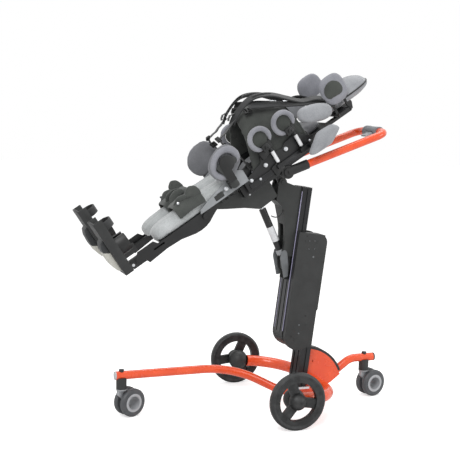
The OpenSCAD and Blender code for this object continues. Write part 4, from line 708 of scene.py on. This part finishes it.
def strapAlong(points, y, width, thick, wave=0.0, skew=0.0, tilt=0.0):
    # flat webbing laid along (u, w) points at y; wave lifts it a little, skew drifts it across
    path = smoothPath(points)
    verts, faces = [], []
    section = ((-0.5, 0), (-0.46, 0.5), (0.46, 0.5), (0.5, 0), (0.46, -0.5), (-0.46, -0.5))
    for i, (u, w) in enumerate(path):
        u0, w0 = path[max(i - 1, 0)]
        u1, w1 = path[min(i + 1, len(path) - 1)]
        along = Vector((u1 - u0, 0, w1 - w0)).normalized()
        rise = Vector((-along.z, 0, along.x))
        share = i / (len(path) - 1)
        for a, b in section:
            side = Vector((0, math.cos(math.radians(tilt)), 0)) + rise * math.sin(math.radians(tilt))
            lift = wave * math.sin(share * 23) * (0.6 + 0.4 * a)
            p = Vector((u, y + skew * share, w)) + side * (a * width) + rise * (b * thick + lift)
            verts.append(turned(*p))
    n = len(section)
    for i in range(len(path) - 1):
        for k in range(n):
            faces.append((i * n + k, i * n + (k + 1) % n, (i + 1) * n + (k + 1) % n, (i + 1) * n + k))
    faces += [tuple(range(n)), tuple(len(verts) - n + k for k in reversed(range(n)))]
    mesh = bpy.data.meshes.new("strap")
    mesh.from_pydata(verts, [], faces)
    piece = bpy.data.objects.new("strap", mesh)
    bpy.context.scene.collection.objects.link(piece)
    editing(piece)
    bpy.ops.mesh.normals_make_consistent(inside=False)
    leaveEdit()
    smoothen(piece, 40)
    return piece


def vestBody():
    vest = shellsOf("vest")[0]
    puff(vest, 5, 2.5, 3)
    done(vest, "paddedVest", "body_support", "vestCloth", ["vest"])


hipPads()
armPads()
headPads()
print("hip, arm and head pads")
footParts()
vestBody()
print("feet and vest")


# ---- hard details
def turnedPart(profile, name, place, sides=40):
    # spins a profile of (radius, height) in mm about Z, then puts it in place
    bpy.ops.object.select_all(action="DESELECT")
    bpy.ops.mesh.primitive_circle_add(vertices=sides, radius=profile[0][0] * mm, fill_type="NGON",
                                      location=(0, 0, profile[0][1] * mm))
    piece = bpy.context.object
    bpy.ops.object.mode_set(mode="EDIT")
    bpy.ops.mesh.select_all(action="SELECT")
    for (r0, z0), (r1, z1) in zip(profile, profile[1:]):
        bpy.ops.mesh.extrude_region_move(TRANSFORM_OT_translate={"value": (0, 0, (z1 - z0) * mm)})
        bpy.ops.transform.resize(value=(r1 / r0, r1 / r0, 1), center_override=(0, 0, z1 * mm))
    bpy.ops.mesh.select_all(action="SELECT")
    bpy.ops.mesh.normals_make_consistent(inside=False)
    leaveEdit()
    settle(piece)
    smoothen(piece, 35)
    settle(piece, place)
    piece.name = name
    return piece


def ringPart(profile, name, wall, place, sides=48):
    # a turned part that is hollow: open at both ends, with a wall of its own
    ring = turnedPart(profile, name, Matrix.Identity(4), sides)
    pick(ring, lambda c, n: abs(n.z) > 0.9 and c.xy.length < 0.1 * mm)
    bpy.ops.mesh.delete(type="FACE")
    leaveEdit()
    inside = ring.modifiers.new("wall", "SOLIDIFY")
    inside.thickness = wall * mm
    inside.offset = -1
    useModifiers(ring)
    smoothen(ring, 35)
    settle(ring, place)
    return ring


def facing(u, y, w):
    # a place on the near side of the body support, with Z pointing out towards the viewer
    return bodyPlace @ Matrix.Translation((u * mm, y * mm, w * mm)) @ Matrix.Rotation(math.radians(90), 4, "X")


hardware = {
    "knobs": [(39, 126, 8), (-53, 120, 8), (-125, 104, 7), (128, 104, 5), (-96, 92, 5)],
    "knobProfile": [(7.5, 0), (8, 1), (8, 6), (7.2, 7), (5, 7), (4.6, 9.5), (3.6, 10)],
    "plate": [(-152, 64), (-152, 108), (-118, 121), (-66, 134), (-52, 158), (-24, 166), (-14, 144), (28, 134),
              (48, 146), (96, 152), (120, 136), (150, 112), (150, 98), (104, 74), (-20, 58)],
    "plateAt": -103.5, "plateThick": -4.5,
    "plateFace": -108.2, "railFace": -114.3,  # y of the bracket's and the rail's outer faces
    "sleeves": [(-10, 106, 150), (92, 106, 150)],
}


def sideHardware():
    plate = plateOf(hardware["plate"], hardware["plateAt"], hardware["plateThick"], 1.4, 5)
    bothSides(plate, "sideBracket", "body_support", "coatBlack")
    rail = plateOf([(-140, 76), (-140, 96), (128, 96), (128, 76)], hardware["plateFace"], -6, 1.5, 3)
    bothSides(rail, "sideRail", "body_support", "anodised")
    for n, (u, w, r) in enumerate(hardware["knobs"]):
        face = hardware["plateFace"] if r > 6 else hardware["railFace"]
        knob = turnedPart([(a * r / 8, b) for a, b in hardware["knobProfile"]], "knob", facing(u, face, w))
        bothSides(knob, "sideKnob%d" % n, "body_support", "steel")
    # painted highlight: pale sleeves round the black posts, where the posts show bright highlight strips
    for n, (u, w0, w1) in enumerate(hardware["sleeves"]):
        h = w1 - w0
        sleeve = turnedPart([(5.6, 0), (6.6, 1), (6.6, h - 1), (5.6, h)], "sleeve",
                            bodyPlace @ Matrix.Translation((u * mm, -0.121, w0 * mm)), 28)
        bothSides(sleeve, "postHighlightSleeve%d" % n, "body_support", "postHighlightPaint")
    clamp = plateOf([(-52, 138), (-56, 168), (-22, 178), (-12, 150)], hardware["plateFace"], -9, 2, 4)
    bothSides(clamp, "padClamp", "body_support", "blackPlastic")
    hinge = plateOf([(-40, 64), (-44, 100), (-10, 108), (4, 74)], hardware["plateFace"], -12, 2.5, 6)
    bothSides(hinge, "hingeHousing", "body_support", "blackPlastic")


def springLabel():
    foot, head = Vector((0.1584, 0, 0.5419)), Vector((0.0253, 0, 0.8258))  # the spring's two pins
    line = (head - foot).normalized()
    turn = line.to_track_quat("Z", "Y").to_matrix().to_4x4()
    band = ringPart([(13.2, 0), (13.45, 0.3), (13.45, 57.7), (13.2, 58)], "band", 0.6,
                    Matrix.Translation(foot + line * 0.072) @ turn)
    done(band, "springBlankLabel", "spring_tube", "labelWhite")
    cuff = ringPart([(13.3, 0), (15.5, 1.5), (15.5, 16), (13.6, 19)], "cuff", 2.6,
                    Matrix.Translation(foot + line * 0.018) @ turn)
    done(cuff, "springCuff", "spring_tube", "greyPlastic")


def springEar():
    # pale guard over the spring's foot, drawn in the column's own (t, s)
    outline = [(-48, 496), (-46, 520), (-34, 528), (-24, 520), (-12, 476), (-8, 432), (-24, 426), (-34, 456)]
    for side in (-1, 1):
        guard = plateOf(outline, 33.4 * side, 3.0 * side, 1.0, 5)
        settle(guard, columnPlace @ bodyPlace.inverted())
        done(guard, "springGuard" + ("Near" if side < 0 else "Far"), "lift", "screwGrey")


sideHardware()
springLabel()
springEar()
print("side hardware and spring")


lobes = {  # outline (u, w), y and thickness of each folded end of a knee wrap
    "lobeLow": ([(-404, 158), (-398, 182), (-372, 200), (-346, 196), (-330, 176), (-352, 170), (-380, 166)],
                -90, 12),
    "lobeHigh": ([(-352, 176), (-344, 204), (-322, 218), (-300, 206), (-292, 178), (-300, 150), (-316, 168)],
                 -92, 12),
    "lobeInner": ([(-396, 172), (-386, 200), (-356, 212), (-326, 204), (-318, 184), (-350, 180)], -30, 10),
}


def kneeWraps():
    wrap = shellsOf("knee_wrap_near")[0]
    puff(wrap, 4, 3, 4)
    bothSides(wrap, "kneeWrap", "leg_{}", "wrapCloth", ["knee_wrap_{}"])
    for key, (outline, y, thick) in lobes.items():
        lobe = plateOf(outline, y, thick, 3, 8)
        editing(lobe)
        bpy.ops.transform.rotate(value=math.radians(-24 if y < -50 else 20), orient_axis="X",
                                 center_override=turned(-350, y, 170))
        leaveEdit()
        puff(lobe, 3, 3, 3)
        bothSides(lobe, key, "leg_{}", "wrapCloth", ())
    for n, (u, w) in enumerate(((-330, 204), (-316, 196), (-384, 186))):
        snap = turnedPart([(4.2, 0), (4.6, 0.6), (4.4, 2), (3, 2.8), (1.6, 2.4)], "snap", facing(u, -104, w), 24)
        bothSides(snap, "wrapSnap%d" % n, "leg_{}", "steel")


kneeWraps()
print("knee wraps")


def onColumn(t, y, s):
    # a place on the near side of the column, with Z pointing out
    return columnPlace @ Matrix.Translation((t * mm, y * mm, s * mm)) @ Matrix.Rotation(math.radians(90), 4, "X")


screwRows = {
    "coverScrews": {"at": [(47, 571, 1.9), (67, 573, 1.9), (48, 542, 1.9), (70, 544, 1.9), (70, 515, 3.6),
                           (52, 263, 2.8), (55, 232, 2.8)], "finish": "screwGrey"},
    "coverPlugs": {"at": [(35, 588, 2.0), (72, 298, 2.6), (79, 265, 2.2), (28, 220, 2.0)], "finish": "blackPlastic"},
}


coverFace = -60.2  # y of the near cover's outer face


def columnDetails():
    for name, s in screwRows.items():
        heads = []
        for t, up, r in s["at"]:
            heads.append(turnedPart([(r, 0), (r, 0.6), (r * 0.85, 1.0), (r * 0.5, 1.0), (r * 0.42, 0.3)], "head",
                                    onColumn(t, coverFace, up), 20))
        row = joined(heads)
        twin = mirrored(row, "twin")
        done(row, name + "Near", "lift", s["finish"])
        done(twin, name + "Far", "lift", s["finish"])
    # painted highlight: a pale bead along the column's front edge stands for the light caught on its anodised corner
    bead = turnedPart([(1.0, 0), (1.6, 0.6), (1.6, 511), (1.0, 512)], "bead",
                      columnPlace @ Matrix.Translation((0.0006, -0.0375, 0.232)), 16)
    bothSides(bead, "columnEdgeHighlight", "lift", "edgeHighlight")


def headDetails():
    inset = plateOf([(272, 176), (261, 196), (268, 219), (290, 233), (314, 233), (335, 215), (339, 188), (326, 173)],
                    -103.6, -5, 1.6, 9)
    puff(inset, 3, 2, 1.5)
    bothSides(inset, "headPadInset", "head_side_{}", "padDark", ())
    band = beadRound(headPad, turned(340, 0, 143), bodyUp, 3.0, "headCushionBand")
    done(band, "headCushionBand", "head", "strapBlack")


strapSettings = {
    "shoulder": {"line": [(-64, 290), (-30, 313), (20, 330), (63, 326), (109, 303), (150, 262), (190, 226), (240, 205),
                          (288, 160)], "y": -45, "skew": -46, "width": 25, "thick": 5, "wave": 0.9, "tilt": 30},
    "chest": {"line": [(14, 318), (50, 298), (86, 278), (132, 250), (175, 226), (226, 198), (284, 150)], "y": -66,
              "skew": -26, "width": 28, "thick": 5, "wave": 0.8, "tilt": 38},
    "pull": {"line": [(-44, 300), (-72, 291), (-104, 280), (-136, 276)], "y": -48, "skew": -6, "width": 20,
             "thick": 2.6, "wave": 1.2},
    "down": {"line": [(-136, 274), (-130, 240), (-112, 200), (-104, 160), (-100, 126)], "y": -62, "skew": -38,
             "width": 20, "thick": 2.6, "wave": 1.0},
    "sleeve": {"line": [(46, 333), (76, 324), (108, 306)], "y": -49, "skew": -2, "width": 33, "thick": 8, "wave": 0},
    "tail": {"line": [(-30, 316), (-52, 318), (-66, 306)], "y": -40, "skew": 4, "width": 18, "thick": 2.4, "wave": 1.5},
}
buckleSettings = [("pullBuckle", (-136, -56, 276), (15, 24, 6), 0), ("downBuckle", (-128, -64, 244), (20, 24, 6), -70),
                  ("chestBuckle", (140, -74, 246), (26, 30, 5), -35), ("vestBuckle", (4, -62, 303), (26, 28, 7), -20),
                  ("sideBuckle", (-104, -100, 150), (24, 22, 6), -80)]


def buckle(size, place):
    # ladder-lock buckle: a frame with a bar across it, rounded all over
    bpy.ops.object.select_all(action="DESELECT")
    bpy.ops.mesh.primitive_cube_add(size=1)
    piece = bpy.context.object
    piece.scale = [c * mm for c in size]
    settle(piece)
    editing(piece)
    bpy.ops.mesh.bisect(plane_co=(0, 0, 0), plane_no=(1, 0, 0))
    pick(piece, lambda c, n: abs(n.z) > 0.9)
    bpy.ops.mesh.inset(thickness=min(size[0], size[1]) * 0.16 * mm, use_individual=True)
    bpy.ops.mesh.extrude_region_move(TRANSFORM_OT_translate={"value": (0, 0, 0)})
    bpy.ops.transform.resize(value=(0.92, 0.92, 0.35), center_override=(0, 0, 0))
    bpy.ops.mesh.select_all(action="SELECT")
    bpy.ops.mesh.normals_make_consistent(inside=False)
    leaveEdit()
    hardened(piece, 0.8)
    settle(piece, place)
    return piece


def harness():
    for key, s in strapSettings.items():
        strap = strapAlong(s["line"], s["y"], s["width"], s["thick"], s["wave"], s["skew"],
                           s.get("tilt", 0))
        bothSides(strap, "strap" + key.capitalize(), "body_support", "strapBlack",
                  ["harness_straps"] if key == "shoulder" else ())
    for name, (u, y, w), size, lean in buckleSettings:
        piece = buckle(size, bodyPlace @ Matrix.Translation((u * mm, y * mm, w * mm))
                       @ Matrix.Rotation(math.radians(-lean), 4, "Y") @ Matrix.Rotation(math.radians(35), 4, "X"))
        bothSides(piece, name, "body_support", "steel" if name == "chestBuckle" else "blackPlastic")


columnDetails()
headDetails()
harness()
print("column, head and harness details")


padHinges = [(-30, 180), (72, 181)]
sidePlateFace = -107.8  # y of the side plate's outer face
gripMiddle = (0.504, 1.002)  # x and z of the grip's axis


def moreDetails():
    for n, (u, w) in enumerate(padHinges):
        block = plateOf([(u - 15, w - 14), (u - 17, w + 12), (u + 8, w + 17), (u + 15, w - 8)], -147, -8, 2, 4)
        pin = turnedPart([(6, 0), (6.6, 0.8), (6.6, 4), (5.6, 5), (3, 5), (2.6, 4)], "pin", facing(u, -155, w), 28)
        block = joined([block, pin])
        bothSides(block, "trunkHinge%s" % ("Low", "High")[n], "trunk_{}_%s" % ("low", "high")[n], "blackPlastic")
    # painted shade: a dark plate on the side plate stands for the shade inside its slot
    slotShade = plateOf([(-268, 114), (-268, 132), (-232, 132), (-232, 114)], sidePlateFace, -1.2, 0.4, 3)
    bothSides(slotShade, "sidePlateSlotShade", "leg_{}", "coatGraphite")
    knob = turnedPart(hardware["knobProfile"], "knob", facing(-216, sidePlateFace, 133))
    bothSides(knob, "sidePlateKnob", "hip_{}", "steel")
    vest = bpy.data.objects["paddedVest"]
    for name, u, finish, r in (("vestBindingLow", -101, "rimLight", 4.2), ("vestBindingHigh", 132, "padDark", 3.4)):
        band = beadRound(vest, turned(u, 0, 200), bodyAlong, r, name)
        done(band, name, "body_support", finish)
    seam = beadRound(vest, turned(-38, 0, 200), (bodyAlong + bodyUp * 0.35).normalized(), 1.1, "vestSeam")
    done(seam, "vestSeam", "body_support", "vestCloth")
    for n, (u, w) in enumerate(((-150, 60), (-128, 62), (-106, 64), (-84, 66))):
        screw = turnedPart([(3.2, 0), (3.2, 0.8), (2.7, 1.4), (1.5, 1.4), (1.3, 0.5)], "screw", facing(u, -90.4, w), 20)
        bothSides(screw, "beamScrew%d" % n, "body_support", "steel")
    for n, y in enumerate((25, 32, 39, 46)):
        rib = turnedPart([(19.2, 0), (20.6, 0.8), (20.6, 3.2), (19.2, 4)], "rib",
                         Matrix.Translation((gripMiddle[0], y * mm, gripMiddle[1]))
                         @ Matrix.Rotation(math.radians(90), 4, "X"), 40)
        done(rib, "gripRib%d" % n, "bow", "gripGrey")


moreDetails()
print("side plates and bindings")
